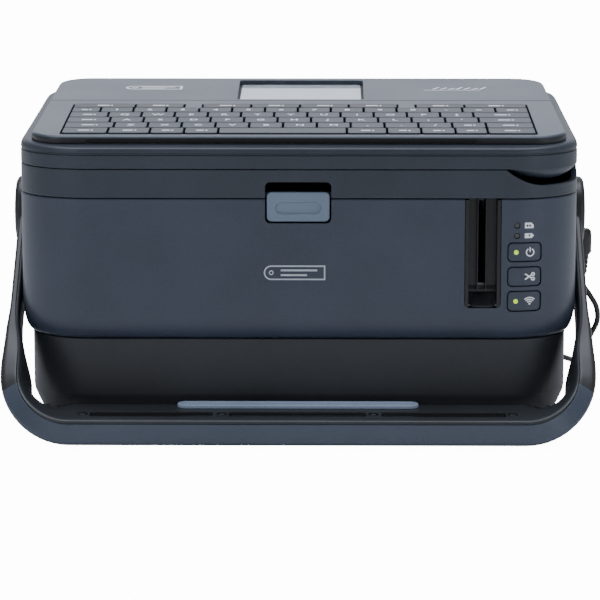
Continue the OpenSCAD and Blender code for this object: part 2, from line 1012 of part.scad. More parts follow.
// skin over a row of rings with the same number of points, closed at both ends
module skin(rings) {
    n = len(rings[0]);
    count = len(rings);
    points = [for (r = rings, q = r) q];
    sides = [for (k = [0 : count - 2], i = [0 : n - 1])
        let (j = (i + 1) % n, a = k * n, b = a + n)
            each [[a + i, a + j, b + j], [a + i, b + j, b + i]]];
    first_cap = [for (i = [1 : n - 2]) [0, i + 1, i]];
    last_cap = [for (i = [1 : n - 2]) [(count - 1) * n, (count - 1) * n + i, (count - 1) * n + i + 1]];
    polyhedron(points, concat(sides, first_cap, last_cap), convexity = 6);
}

module handle_shell() {
    color(bar_grey)
    skin(bar_rings(-1));
}

module handle_liner() {
    color(near_black)
    skin(bar_rings(1));
}

module handle_hubs() {
    color(bar_grey)
    for (side = [-1, 1])
        translate([side * hub_x0, pivot_y, pivot_z])
            rotate([0, side * 90, 0])
                difference() {
                    union() {
                        cylinder(r = hub_r, h = hub_x1 - hub_x0 - 3, $fn = 96);
                        translate([0, 0, hub_x1 - hub_x0 - 3 - eps])
                            cylinder(r1 = hub_r, r2 = hub_r - 3, h = 3 + eps, $fn = 96);
                    }
                    translate([0, 0, -1])
                        cylinder(r = trunnion_r + fit, h = 7.4, $fn = 48);
                }
}

module handle_trunnions() {
    color(steel)
    for (side = [-1, 1])
        translate([side * (body_w / 2 - wall - 3), pivot_y, pivot_z])
            rotate([0, side * 90, 0])
                union() {
                    cylinder(r = 8, h = 3, $fn = 48);
                    cylinder(r = trunnion_r, h = 11, $fn = 48);
                }
}

module handle_grip_strip() {
    color("#6b7a8d")
    block([-59.5, -88, bar_z + bar_t / 2], [59.5, -78, bar_z + bar_t / 2 + 2], 3);
}

handle_screw_x = [-105, -37, 37, 105];

module handle_screws() {
    color(steel)
    for (x = handle_screw_x)
        translate([x, -100, bar_z + bar_t / 2])
            cylinder(r = 2.5, h = 0.6, $fn = 32);
}

// ---- power lead ----

plug_x = 151.5;

module dc_plug() {
    color(near_black)
    union() {
        translate([128, jack_y, jack_z])
            rotate([0, 90, 0])
                cylinder(r = 2.7, h = 14, $fn = 32);
        translate([body_w / 2 + 0.5, jack_y, jack_z])
            rotate([0, 90, 0])
                cylinder(r = 5, h = plug_x - body_w / 2 - 0.5, $fn = 48);
        translate([plug_x, jack_y, jack_z - 7])
            cylinder(r = 4.5, h = 13, $fn = 48);
        translate([plug_x, jack_y, jack_z - 19])
            cylinder(r1 = 2.2, r2 = 4, h = 12 + eps, $fn = 48);
    }
}

// route of the lead from the plug down to the table and back to the coil behind the case
cord_route = [
    [151.5, 57, 57], [152, 57, 52], [156, 58, 46], [160, 60, 39], [161, 63, 31], [158, 67, 23],
    [155, 73, 14], [154, 82, 6], [153, 94, 2], [148, 108, 1.5], [139, 120, 1.5], [129, 130, 1.5],
    [124, 137, 1.5], [122.5, 144, 1.5]
];
coil_xy = [100, 144];
coil_layers = 4;
coil_half = 6;

// point on the smooth curve through the route, u counts route points
function route_at(u) =
    let (n = len(cord_route) - 1, i = min(n - 1, floor(u)), t = u - i,
         p0 = cord_route[max(0, i - 1)], p1 = cord_route[i],
         p2 = cord_route[i + 1], p3 = cord_route[min(n, i + 2)])
    0.5 * (2 * p1 + t * (p2 - p0) + t * t * (2 * p0 - 5 * p1 + 4 * p2 - p3)
           + t * t * t * (3 * p1 - p0 - 3 * p2 + p3));

function unit(v) = v / norm(v);

function tube_ring(u) =
    let (n = len(cord_route) - 1,
         d = unit(route_at(min(n, u + 0.05)) - route_at(max(0, u - 0.05))),
         across = unit(cross(d, [0.3, 0.9, 0.2])),
         up = cross(across, d))
    [for (i = [0 : 7])
        route_at(u) + cord_d / 2 * (cos(45 * i) * across + sin(45 * i) * up)];

module cord_tube() {
    color(near_black)
    skin([for (k = [0 : 2 * (len(cord_route) - 1)]) tube_ring(k / 2)]);
}

// moulded plug on the far end, lying beside the coil; its boot slopes down from the coil's top turn
module usb_plug() {
    x0 = coil_xy[0] - 6;
    y = coil_xy[1] + coil_r + 4.5;
    boot_z = (coil_layers - 0.5) * cord_d;
    boot_len = 25;
    dip = asin((boot_z - 4.1) / boot_len);
    color(near_black)
    union() {
        translate([x0, y, boot_z])
            rotate([0, -90 - dip, 0])
                cylinder(r1 = 1.8, r2 = 3.4, h = boot_len, $fn = 32);
        block([x0 - 48, y - 7.7, 0.2], [x0 - 23, y + 7.7, 8], 2);
        block([x0 - 60, y - 6, 1.85], [x0 - 47.5, y + 6, 6.35]);
    }
}

module cord_coil() {
    color(near_black)
    translate([coil_xy[0], coil_xy[1], 0])
        rotate_extrude($fn = 64)
            translate([coil_r - coil_half, 0])
                square([2 * coil_half, coil_layers * cord_d]);
}

// ---- selection ----

base_tray();
main_case();
storage_bin();
mechanism_frame();
tape_exit_chute();
metal_chassis();
print_head();
stepper_motor();
main_board();
control_board();
power_jack();
usb_socket();
rubber_feet();
base_screws();
indicator_lenses();
cover_hinge_pin();
handle_trunnions();
cutter_frame();
cassette_case();
cassette_lid();
cover_frame();
deck_hinge_pin();
deck_shell();
display_panel();
keyboard_bezel();
lcd_screen();
lcd_window();
keyboard_board();
dome_mat();
deck_screws();
function_keys();
number_keys();
upper_letter_keys();
middle_letter_keys();
lower_letter_keys();
bottom_row_keys();
space_bar();
enter_key();
power_button();
cut_button();
wireless_button();
latch_button();
latch_lever();
handle_shell();
handle_liner();
handle_hubs();
handle_grip_strip();
handle_screws();
motor_pinion();
idler_gear();
platen_gear();
platen_shaft();
platen_roller();
ribbon_drive();
tape_roll();
cutter_blade();
dc_plug();
cord_tube();
cord_coil();
usb_plug();
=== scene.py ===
import math

import bmesh
import bpy
import numpy as np
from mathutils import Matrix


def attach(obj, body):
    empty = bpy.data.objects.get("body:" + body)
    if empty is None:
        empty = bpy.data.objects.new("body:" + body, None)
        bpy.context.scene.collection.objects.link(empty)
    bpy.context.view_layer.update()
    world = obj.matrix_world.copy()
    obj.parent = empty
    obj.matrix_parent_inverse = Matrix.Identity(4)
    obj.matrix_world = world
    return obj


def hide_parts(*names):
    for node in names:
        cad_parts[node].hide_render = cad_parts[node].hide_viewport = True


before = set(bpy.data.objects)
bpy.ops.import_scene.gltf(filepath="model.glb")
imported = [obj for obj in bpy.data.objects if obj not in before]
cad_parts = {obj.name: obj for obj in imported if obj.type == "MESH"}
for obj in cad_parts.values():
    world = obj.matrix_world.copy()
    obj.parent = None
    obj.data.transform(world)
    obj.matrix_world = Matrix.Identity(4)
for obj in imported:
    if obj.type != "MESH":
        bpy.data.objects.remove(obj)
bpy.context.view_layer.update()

# Desktop label maker. Every length is in millimetres until it is handed to Blender, which gets metres.
mm = 0.001
slope = math.radians(3.85)          # tilt of the keyboard
slopeOrigin = np.array([0, -63, 146.3])
halfWidth = 139.5
frontY = -73
rearY = 113
cornerR = 35
pivotY, pivotZ = 17.0, 98.0         # the handle turns about the line along X through here


# Small tools

# sRGB hex to linear: the low end is a straight line, the rest a power of 2.4
def linearColour(text, alpha=1.0):
    raw = np.array([int(text[i:i + 2], 16) for i in (1, 3, 5)]) / 255
    line = np.where(raw <= 0.04045, raw / 12.92, ((raw + 0.055) / 1.055) ** 2.4)
    return (*line.tolist(), alpha)


# one shader node: settings are properties or input values, links are {input: (node, output)}
def addNode(tree, kind, settings=None, links=None):
    node = tree.nodes.new("ShaderNode" + kind)
    for key, value in (settings or {}).items():
        if isinstance(key, str) and hasattr(node, key):
            setattr(node, key, value)
        else:
            node.inputs[key].default_value = value
    for key, (source, output) in (links or {}).items():
        tree.links.new(source.outputs[output], node.inputs[key])
    return node


# empty material with a node that gives the place on the object
def newMaterial(name):
    material = bpy.data.materials.new(name)
    material.use_nodes = True
    tree = material.node_tree
    tree.nodes.clear()
    return material, tree, (addNode(tree, "TexCoord"), "Object")


# noise whose features are about size millimetres wide
def noiseOf(tree, place, size, detail=2.0):
    return addNode(tree, "TexNoise", {"Scale": 1000 / size, "Detail": detail}, {"Vector": place})


# colour that runs from dark to light with the noise; ends are where the two colours are reached
def rampOf(tree, noise, dark, light, ends=(0, 1)):
    ramp = addNode(tree, "ValToRGB", {}, {"Fac": (noise, "Fac")})
    for element, colour, at in zip(ramp.color_ramp.elements, (dark, light), ends):
        element.color, element.position = colour, at
    return ramp


def bumpOf(tree, height, strength, distance, normal=None):
    links = {"Height": (height, "Fac")}
    if normal:
        links["Normal"] = (normal, "Normal")
    return addNode(tree, "Bump", {"Strength": strength, "Distance": distance * mm}, links)


def shaded(material, settings, links):
    tree = material.node_tree
    shader = addNode(tree, "BsdfPrincipled", settings, links)
    addNode(tree, "OutputMaterial", {}, {"Surface": (shader, "BSDF")})
    return material


# same colour, darker by a factor
def dimmed(colour, factor):
    return [c * factor for c in linearColour(colour)[:3]] + [1]


def smoothStep(t):
    t = np.clip(t, 0, 1)
    return t * t * (3 - 2 * t)


# quads over a grid of rows by columns, which may close on itself either way
def gridFaces(rows, cols, wrapRows=False, wrapCols=True):
    a, b = np.meshgrid(np.arange(rows if wrapRows else rows - 1),
                       np.arange(cols if wrapCols else cols - 1), indexing="ij")
    down, right = (a + 1) % rows, (b + 1) % cols
    quads = np.stack([a * cols + b, a * cols + right, down * cols + right, down * cols + b], -1)
    return quads.reshape(-1, 4).tolist()


# skin over rings of equal point count, rings[k, i]; the ends close with one flat face each
def loft(rings, closed=False, caps=True):
    rings = np.asarray(rings, float)
    rows, cols = rings.shape[:2]
    faces = gridFaces(rows, cols, wrapRows=closed)
    if caps and not closed:
        faces.append(list(range(cols))[::-1])
        faces.append(list(range((rows - 1) * cols, rows * cols)))
    return rings.reshape(-1, 3), faces


# several closed shapes in one mesh
def merged(*shapes):
    points, faces, offset = [], [], 0
    for p, f in shapes:
        points.append(p)
        faces += [[i + offset for i in face] for face in f]
        offset += len(p)
    return np.concatenate(points), faces


# rounded rectangle, counter-clockwise; radius is one value or front right, rear right, rear left, front left
def roundedRing(x0, x1, y0, y1, radius, arc=10, side=4):
    r = np.maximum(np.ones(4) * radius, 0.001)[:, None, None]
    corner = np.array([[x1, y0], [x1, y1], [x0, y1], [x0, y0]])[:, None, :]
    inward = np.array([[-1, 1], [-1, -1], [1, -1], [1, 1]])[:, None, :]
    angle = np.radians(np.linspace(-90, 0, arc + 1)[None] + 90 * np.arange(4)[:, None])
    arcs = corner + r * inward + r * np.stack([np.cos(angle), np.sin(angle)], -1)
    after = np.roll(arcs, -1, axis=0)[:, :1]
    t = np.linspace(0, 1, side + 1)[1:-1][None, :, None]
    return np.concatenate([arcs, arcs[:, -1:] * (1 - t) + after * t], 1).reshape(-1, 2)


# quarter or other arc of a fillet: centre, radius, angles in degrees, as (u, v) points
def arcPath(u, v, radius, start, end, steps=6):
    a = np.radians(np.linspace(start, end, steps + 1))
    return [(u + radius * math.cos(t), v + radius * math.sin(t)) for t in a]


# an outline in plan lifted to z, which is a number or a function of y, and one seen from the front, put at y
def atHeight(ring, z):
    return np.column_stack([ring, z(ring[:, 1]) if callable(z) else np.full(len(ring), float(z))])


def atDepth(ring, y):
    return np.column_stack([ring[:, 0], np.full(len(ring), y), ring[:, 1]])


# plan outline of the case, drawn in by inset
def planRing(inset, z, arc=16, side=12):
    return atHeight(roundedRing(-halfWidth + inset, halfWidth - inset, frontY + inset, rearY - inset,
                                cornerR - inset, arc, side), z)


# a point of the keyboard's plane: across u, up the slope v, above it w
def onSlope(u, v, w):
    u, v, w = np.broadcast_arrays(np.asarray(u, float), v, w)
    return np.stack([slopeOrigin[0] + u,
                     slopeOrigin[1] + v * math.cos(slope) - w * math.sin(slope),
                     slopeOrigin[2] + v * math.sin(slope) + w * math.cos(slope)], -1)


# upright prism on a rounded rectangle
def blockShape(low, high, radius, arc=10):
    ring = roundedRing(low[0], high[0], low[1], high[1], radius, arc, 1)
    return loft([atHeight(ring, z) for z in (low[2], high[2])])


def boxShape(low, high):
    return blockShape(low, high, 0.01, 1)


# plain round bar from low to high along an axis through centre
def rodShape(radius, low, high, centre, axis, around=32):
    return latheShape([(0.01, low), (radius, low), (radius, high), (0.01, high)], centre, axis, around)


# profile of (radius, height) turned about an axis through centre
def latheShape(profile, centre, axis=(0, 0, 1), around=48):
    axis = np.array(axis, float) / np.linalg.norm(axis)
    side = np.cross(axis, (0.0, 1.0, 0.0) if abs(axis[1]) < 0.9 else (1.0, 0.0, 0.0))
    side /= np.linalg.norm(side)
    other = np.cross(axis, side)
    turn = np.linspace(0, 2 * np.pi, around, endpoint=False)[None, :, None]
    radius, height = np.array(profile, float).T[:, :, None, None]
    rings = np.array(centre, float) + radius * (np.cos(turn) * side + np.sin(turn) * other) + height * axis
    return loft(rings)


# window seen from the front, pushed through along Y
def frontPrism(x0, x1, z0, z1, radius, y0, y1):
    ring = roundedRing(x0, x1, z0, z1, radius, 8, 1)
    return loft([atDepth(ring, y) for y in (y1, y0)])


def makeObject(name, shape):
    mesh = bpy.data.meshes.new(name)
    mesh.from_pydata((shape[0] * mm).tolist(), [], shape[1])
    mesh.update()
    item = bpy.data.objects.new(name, mesh)
    bpy.context.scene.collection.objects.link(item)
    return item


def applied(item):
    bpy.context.view_layer.update()
    mesh = bpy.data.meshes.new_from_object(item.evaluated_get(bpy.context.evaluated_depsgraph_get()))
    item.modifiers.clear()
    item.data = mesh
    return item


# solid arithmetic: subtracts or adds each shape in turn
def carve(item, shapes, operation="DIFFERENCE"):
    for shape in shapes:
        tool = makeObject("tool", shape)
        step = item.modifiers.new("carve", "BOOLEAN")
        step.object = tool
        step.operation = operation
        step.solver = "EXACT"
        applied(item)
        bpy.data.objects.remove(tool)
    return item


# turns every face of a closed shape outwards
def outward(item):
    form = bmesh.new()
    form.from_mesh(item.data)
    bmesh.ops.recalc_face_normals(form, faces=form.faces)
    form.to_mesh(item.data)
    form.free()
    return item


# smooths all but the sharp edges, sets the material, ties the piece to its body
def finishPiece(item, body, slot, material, replaces=(), sharp=32, weighted=True):
    mesh = item.data
    mesh.shade_smooth()
    mesh.set_sharp_from_angle(angle=math.radians(sharp))
    mesh.materials.clear()
    mesh.materials.append(material)
    if weighted:
        step = item.modifiers.new("even", "WEIGHTED_NORMAL")
        step.keep_sharp = True
        applied(item)
    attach(item, body)
    if replaces:
        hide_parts(*replaces)
    return item


def newPiece(name, shape, *rest):
    return finishPiece(makeObject(name, shape), *rest)


def carvedPiece(name, shape, tools, *rest):
    return finishPiece(carve(makeObject(name, shape), tools), *rest)


def outwardPiece(name, shape, *rest):
    return finishPiece(outward(makeObject(name, shape)), *rest)


# Camera

cameraLook = {"x": 14.6, "y": -1473, "z": 317, "pitch": 10.15, "turn": 0.56, "lens": 172.7}

cameraData = bpy.data.cameras.new("camera")
cameraData.lens = cameraLook["lens"]
cameraData.sensor_width = 36
cameraData.clip_end = 20
camera = bpy.data.objects.new("camera", cameraData)
camera.location = np.array([cameraLook["x"], cameraLook["y"], cameraLook["z"]]) * mm
camera.rotation_euler = (math.radians(90 - cameraLook["pitch"]), 0, math.radians(cameraLook["turn"]))
bpy.context.scene.collection.objects.link(camera)
bpy.context.scene.camera = camera
print("camera placed")


# Materials

# Moulded thermoplastic. Spark-eroded steel leaves a fine even grain, which scatters light, so the
# surface looks satin; sharp corners are shaded as if slightly rounded.
plasticLook = {"grain": 0.55, "cloud": 38.0, "depth": 0.022, "edge": 0.45}


def mouldedPlastic(name, light, dark, roughness=0.42, grain=None, depth=None, ior=1.5, coat=0.0):
    material, tree, place = newMaterial(name)
    fine = noiseOf(tree, place, grain or plasticLook["grain"], 3.0)
    cloud = noiseOf(tree, place, plasticLook["cloud"], 4.0)
    colour = rampOf(tree, cloud, linearColour(dark), linearColour(light), (0.3, 0.7))
    speck = addNode(tree, "MapRange", {"From Min": 0.35, "From Max": 0.65, "To Min": 0.9, "To Max": 1.1},
                    {"Value": (fine, "Fac")})
    tint = addNode(tree, "Mix", {"data_type": "RGBA", "blend_type": "MULTIPLY", 0: 1.0},
                   {6: (colour, "Color"), 7: (speck, "Result")})
    edge = addNode(tree, "Bevel", {"samples": 4, "Radius": plasticLook["edge"] * mm})
    bump = bumpOf(tree, fine, 0.5, depth or plasticLook["depth"], edge)
    rough = addNode(tree, "MapRange", {"To Min": roughness - 0.05, "To Max": roughness + 0.05},
                    {"Value": (cloud, "Fac")})
    return shaded(material, {"IOR": ior, "Coat Weight": coat, "Coat Roughness": 0.2},
                  {"Base Color": (tint, 2), "Roughness": (rough, "Result"), "Normal": (bump, "Normal")})


# Turned or rolled metal: fine parallel scratches stretched along one axis
def machinedMetal(name, colour, roughness, stretch=(1, 1, 30), grain=0.4):
    material, tree, place = newMaterial(name)
    scale = addNode(tree, "Mapping", {"Scale": stretch}, {"Vector": place})
    lines = noiseOf(tree, (scale, "Vector"), grain * max(stretch), 5.0)
    rough = addNode(tree, "MapRange", {"To Min": roughness - 0.08, "To Max": roughness + 0.12},
                    {"Value": (lines, "Fac")})
    ramp = rampOf(tree, lines, dimmed(colour, 0.8), linearColour(colour))
    edge = addNode(tree, "Bevel", {"samples": 4, "Radius": 0.2 * mm})
    bump = bumpOf(tree, lines, 0.3, 0.01, edge)
    return shaded(material, {"Metallic": 1.0},
                  {"Base Color": (ramp, "Color"), "Roughness": (rough, "Result"), "Normal": (bump, "Normal")})


# Fibreglass circuit board under green solder mask: copper runs show through as paler green bars
def circuitBoard():
    material, tree, place = newMaterial("FR4 board, solder mask over copper")
    runs = addNode(tree, "TexBrick", {"Scale": 1000 / 2.5, "Mortar Size": 0.012, "Row Height": 0.35,
                                      "Color1": linearColour("#1c5c3a"), "Color2": linearColour("#236b45"),
                                      "Mortar": linearColour("#0f3d26")}, {"Vector": place})
    patch = noiseOf(tree, place, 9)
    tint = addNode(tree, "Mix", {"data_type": "RGBA", "blend_type": "MIX", 7: linearColour("#184f33")},
                   {0: (patch, "Fac"), 6: (runs, "Color")})
    bump = bumpOf(tree, runs, 0.4, 0.04)
    return shaded(material, {"Roughness": 0.32, "Coat Weight": 0.4},
                  {"Base Color": (tint, 2), "Normal": (bump, "Normal")})


# Clear acrylic sheet over the display: flow lines of the sheet bend reflections very slightly
def clearAcrylic():
    material, tree, place = newMaterial("PMMA display lens, cast")
    bump = bumpOf(tree, noiseOf(tree, place, 25, 1.0), 0.1, 0.02)
    return shaded(material, {"Base Color": linearColour("#e8edf2"), "Roughness": 0.06, "IOR": 1.49,
                             "Transmission Weight": 0.9}, {"Normal": (bump, "Normal")})


# Reflective liquid-crystal cell: a pale grey field with the faint grid of its dots, 0.5 mm apart, with a
# painted glow
def glowPaintedDisplayCell():
    material, tree, place = newMaterial("reflective LCD cell, painted glow")
    dots = addNode(tree, "TexBrick", {"Scale": 1000 / 0.5, "offset": 0.0, "Brick Width": 1.0,
                                      "Row Height": 1.0, "Mortar Size": 0.06,
                                      "Color1": linearColour("#dfe4ea"), "Color2": linearColour("#d9dfe6"),
                                      "Mortar": linearColour("#c9d0d9")}, {"Vector": place})
    # the emission is a painted glow that lightens the cell; a reflective cell gives no light of its own
    return shaded(material, {"Roughness": 0.3, "Emission Strength": 0.8},
                  {"Base Color": (dots, "Color"), "Emission Color": (dots, "Color")})


# Screen-printed ink: a little uneven in the film, matt, a touch raised. The glow is emission: on the white
# and grey inks it is a painted glow that makes them read brighter, on the lit indicator it is its own light
def printedInk(name, colour, glow=0.0):
    material, tree, place = newMaterial(name)
    ramp = rampOf(tree, noiseOf(tree, place, 1.2), dimmed(colour, 0.86), linearColour(colour))
    return shaded(material, {"Roughness": 0.55, "Emission Color": linearColour(colour),
                             "Emission Strength": glow}, {"Base Color": (ramp, "Color")})


caseAbs = mouldedPlastic("spark-textured ABS, slate", "#394150", "#333b48", 0.4)
baseAbs = mouldedPlastic("spark-textured ABS, charcoal", "#2d3035", "#272a2e", 0.46)
lidAbs = mouldedPlastic("spark-textured ABS, dark slate", "#2f3641", "#29303a", 0.4)
panelAbs = mouldedPlastic("fine-textured ABS, grey blue", "#3a4351", "#343d4a", 0.32, 0.4, 0.015)
keyAbs = mouldedPlastic("fine-textured ABS, key grey", "#323944", "#2c333d", 0.38, 0.4, 0.012)
blackKeyAbs = mouldedPlastic("fine-textured ABS, dark key grey", "#2b2f35", "#262a2f", 0.38, 0.4, 0.012)
buttonAbs = mouldedPlastic("fine-textured ABS, button slate", "#38404e", "#323a47", 0.36, 0.4, 0.012)
blackAbs = mouldedPlastic("fine-textured ABS, black", "#1c1e21", "#16181a", 0.38, 0.4, 0.015)
# darker copy of the panel plastic for the lip's steep faces: painted shade
lipPaintedShadeAbs = mouldedPlastic("fine-textured ABS, painted lip shade", "#212429", "#1b1e22", 0.34, 0.4, 0.015)
latchAbs = mouldedPlastic("satin ABS, light grey blue", "#728193", "#6a798b", 0.34, 0.4, 0.01)
handleAbs = mouldedPlastic("glass-filled nylon, blue grey", "#404958", "#394250", 0.34, 0.6, 0.02)
gripRubber = mouldedPlastic("overmoulded TPE, pale grey blue", "#94a4bb", "#8a9ab1", 0.6, 0.7, 0.05)
blackRubber = mouldedPlastic("moulded nitrile rubber, black", "#1b1b1c", "#141415", 0.72, 0.8, 0.06)
cordVinyl = mouldedPlastic("extruded PVC jacket, black", "#1d1f21", "#151718", 0.34, 1.6, 0.03)
smokedAbs = mouldedPlastic("polished smoked SAN", "#303338", "#25282c", 0.14, 2.0, 0.008, 1.57, 0.6)
acetal = mouldedPlastic("moulded acetal, natural", "#e6e2d4", "#dcd7c6", 0.34, 0.5, 0.01)
cassetteAbs = mouldedPlastic("polished styrene, pale grey", "#cfd3d6", "#c4c9cd", 0.22, 0.6, 0.008)
tapeFilm = mouldedPlastic("wound laminated label tape", "#f2f2ec", "#e4e4dc", 0.3, 0.16, 0.03)
steelPlate = machinedMetal("rolled steel, zinc plated", "#b4b8bd", 0.34, (1, 20, 1))
steelTurned = machinedMetal("turned steel", "#c2c5c9", 0.26, (1, 1, 24))
steelBlack = machinedMetal("steel, black oxide", "#3a3c3f", 0.36, (1, 1, 24))
nickelPlate = machinedMetal("drawn steel, nickel plated", "#cfcfcc", 0.2, (20, 1, 1))
boardMaterial = circuitBoard()
lensAcrylic = clearAcrylic()
glowPaintedLcdCell = glowPaintedDisplayCell()
# the white and silver grey inks carry a small painted glow, which lightens the legends and marks beyond the
# light they get
whiteInkPaintedGlow = printedInk("screen-printed ink, white, painted glow", "#eef1f4", 0.12)
silverInkPaintedGlow = printedInk("screen-printed ink, silver grey, painted glow", "#b9c2cc", 0.05)
# extra-dark black: partly the black plastic of the chute, partly painted shade laid in the lip groove, the
# handle slots and inside the chute
blackAbsAndRecessShade = mouldedPlastic("polished ABS, black, with painted recess shade", "#0d0e0f", "#090a0b", 0.3, 0.4, 0.008)
linerAbs = mouldedPlastic("fine-textured ABS, graphite", "#2c3034", "#26292d", 0.42, 0.4, 0.015)
blackInk = printedInk("screen-printed ink, black", "#121315", 0.0)
greenLens = printedInk("lit indicator, yellow green", "#b9dc3a", 0.9)
print("materials made")


# Power lead

leadLook = {"diameter": 3.0, "coilX": 100.0, "coilY": 144.0, "radii": [22.5, 19.5, 16.5, 13.5], "layers": 4,
            "perTurn": 24, "plugY": 57, "plugZ": 76}
leadRoute = [
    (151.5, 57, 57), (152, 57, 52), (156, 58, 46), (159.9, 60, 39), (160.75, 63, 31), (157.9, 67, 23),
    (155, 73, 14), (154, 82, 6), (153, 94, 2), (148, 108, 1.5), (139, 120, 1.5), (129, 130, 1.5),
    (124, 137, 1.5), (122.5, 144, 1.5),
]


# points on a Catmull-Rom curve through the route, a cubic between each two points
def throughPoints(route, steps):
    p = np.array(route, float)
    p = np.concatenate([p[:1], p, p[-1:]])
    t = np.linspace(0, 1, steps, endpoint=False)[:, None]
    parts = [0.5 * (2 * b + t * (c - a) + t ** 2 * (2 * a - 5 * b + 4 * c - d)
                    + t ** 3 * (3 * b - a - 3 * c + d))
             for a, b, c, d in zip(p[:-3], p[1:-2], p[2:-1], p[3:])]
    return np.concatenate(parts + [p[-2:-1]])


# the coil: whole turns at each radius, stepping to the next radius over a sixth of a turn, layer on layer;
# odd layers wind inwards and even ones outwards
def coilPoints():
    radii = leadLook["radii"]
    plan = []
    for layer in range(leadLook["layers"]):
        order = radii if layer % 2 == 0 else radii[::-1]
        plan += [(r, leadLook["diameter"] * (layer + 0.5)) for r in order]
    plan = np.array(plan)
    turns = len(plan) + 0.25
    u = np.linspace(0, turns, int(turns * leadLook["perTurn"]) + 1)
    index = np.clip(np.floor(u), 0, len(plan) - 1).astype(int)
    after = np.clip(index + 1, 0, len(plan) - 1)
    blend = smoothStep((u - index - 5 / 6) * 6)[:, None]
    radius, height = (plan[index] * (1 - blend) + plan[after] * blend).T
    turn = 2 * np.pi * u
    return np.column_stack([leadLook["coilX"] + radius * np.cos(turn),
                            leadLook["coilY"] + radius * np.sin(turn), height])


leadPoints = np.concatenate([throughPoints(leadRoute, 4)[:-1], coilPoints()])
curve = bpy.data.curves.new("power_lead", "CURVE")
curve.dimensions = "3D"
curve.bevel_depth = leadLook["diameter"] / 2 * mm
curve.bevel_resolution = 4
curve.use_fill_caps = True
line = curve.splines.new("POLY")
line.points.add(len(leadPoints) - 1)
line.points.foreach_set("co", np.column_stack([leadPoints * mm, np.ones(len(leadPoints))]).ravel())
line.use_smooth = True
powerLead = bpy.data.objects.new("power_lead", curve)
bpy.context.scene.collection.objects.link(powerLead)
curve.materials.append(cordVinyl)
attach(powerLead, "case")
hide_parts("cord_tube", "cord_coil")

# right-angled inlet plug: round body, elbow, ribbed strain relief down to the lead
plugY, plugZ = leadLook["plugY"], leadLook["plugZ"]
plugBody = latheShape([(0.1, 0), (5, 0), (5.3, 0.6), (5.3, 8.5), (4.9, 9.6), (4.9, 11.5)],
                      (140, plugY, plugZ), (1, 0, 0))
elbow = latheShape([(0.1, -6.6), (3.4, -6.4), (4.6, -5.2), (4.9, -3), (4.9, 6), (4.4, 7), (3.9, 7.2)]
                   + [(3.9 - 0.13 * k - (0.5 if k % 2 else 0), 7.2 + 1.18 * k) for k in range(1, 10)]
                   + [(1.8, 19), (0.1, 19)], (leadRoute[0][0], plugY, plugZ), (0, 0, -1))
barrel = latheShape([(0.1, 0), (2.5, 0), (2.7, 0.3), (2.7, 12.4), (0.1, 12.4)], (128, plugY, plugZ),
                    (1, 0, 0), 32)
inletPlug = newPiece("inlet_plug", merged(plugBody, elbow, barrel), "case", "cord_vinyl", cordVinyl,
                     ["dc_plug"], 40)

# plug at the far end, lying flat: the boot dips from where the coil ends down to the shell
plugAt = {"x": 94.0, "y": 166.5, "z": 10.5, "boot": 25.0, "shellZ": 4.1}
dip = math.asin((plugAt["z"] - plugAt["shellZ"]) / plugAt["boot"])
bootAxis = (-math.cos(dip), 0, -math.sin(dip))
boot = latheShape([(0.1, 0), (1.8, 0)]
                  + [(1.9 + 0.075 * k - (0.35 if k % 2 else 0), 1.2 * k) for k in range(1, 19)]
                  + [(3.3, 24.5), (0.1, 24.5)], (plugAt["x"], plugAt["y"], plugAt["z"]), bootAxis, 32)


# long block along X: rounded rectangles in the YZ plane, one per (x, half width, half height)
def xBlock(stations, radius):
    y, z = plugAt["y"], plugAt["shellZ"]
    rings = []
    for x, a, b in stations:
        ring = roundedRing(y - a, y + a, z - b, z + b, min(radius, a * 0.98, b * 0.98), 6, 1)
        rings.append(np.column_stack([np.full(len(ring), x), ring]))
    return loft(rings)


plugShell = xBlock([(46, 5.6, 3.0), (46.4, 6.8, 3.6), (47.5, 7.6, 3.85), (58, 7.7, 3.9), (66, 7.4, 3.8),
                    (70, 6.2, 3.4), (71, 4.6, 2.8)], 2.2)
tongue = xBlock([(34.2, 5.9, 2.1), (34.5, 6.0, 2.25), (46.6, 6.0, 2.25)], 0.5)
usbBody = newPiece("usb_plug_body", merged(boot, plugShell), "case", "cord_vinyl", cordVinyl,
                   ["usb_plug"], 40)
usbTongue = newPiece("usb_plug_tongue", tongue, "case", "steel", nickelPlate, (), 40)


# Base

shellLook = {"inset": 5.0, "flareTop": 62.0, "deckLow": 131.4}
footPlaces = [(-104, -34), (104, -34), (-104, 78), (104, 78)]
baseScrewPlaces = [(-112, -6), (112, -6), (-112, 52), (112, 52), (0, -52), (0, 92)]


# cup: outline drawn in by a profile of (inset, z), out over the bottom edge, up, over the rim and down inside
def cupShape(profile, rings=()):
    return loft([planRing(inset, z) for inset, z in profile] + list(rings))


baseProfile = ([(13.0, 3.0), (11.6, 3.1), (11.0, 3.5), (8.0, 9.6), (6.2, 13.6), (5.3, 15.9), (5.0, 18.0)]
               + [(5.0, z) for z in (26, 36)] + arcPath(5.7, 45.2, 0.7, 180, 90, 4)
               + [(7.6, 45.9), (7.6, 17.0), (13.6, 6.0)])
screwHoles = [latheShape([(0.1, 0), (3.2, 0), (3.2, 2.6), (0.1, 2.6)], (x, y, 2.2), around=32)
              for x, y in baseScrewPlaces]
carvedPiece("base_shell", cupShape(baseProfile), screwHoles, "case", "base_abs", baseAbs, ["base_tray"])
bossProfile = [(1.7, 0), (5.0, 0), (5.0, 38.6), (4.6, 39.0), (2.2, 39.0), (1.7, 38.5)]
bosses = [latheShape(bossProfile, (x, y, 5.8), around=32) for x, y in baseScrewPlaces]
newPiece("base_screw_bosses", merged(*bosses), "case", "base_abs", baseAbs)
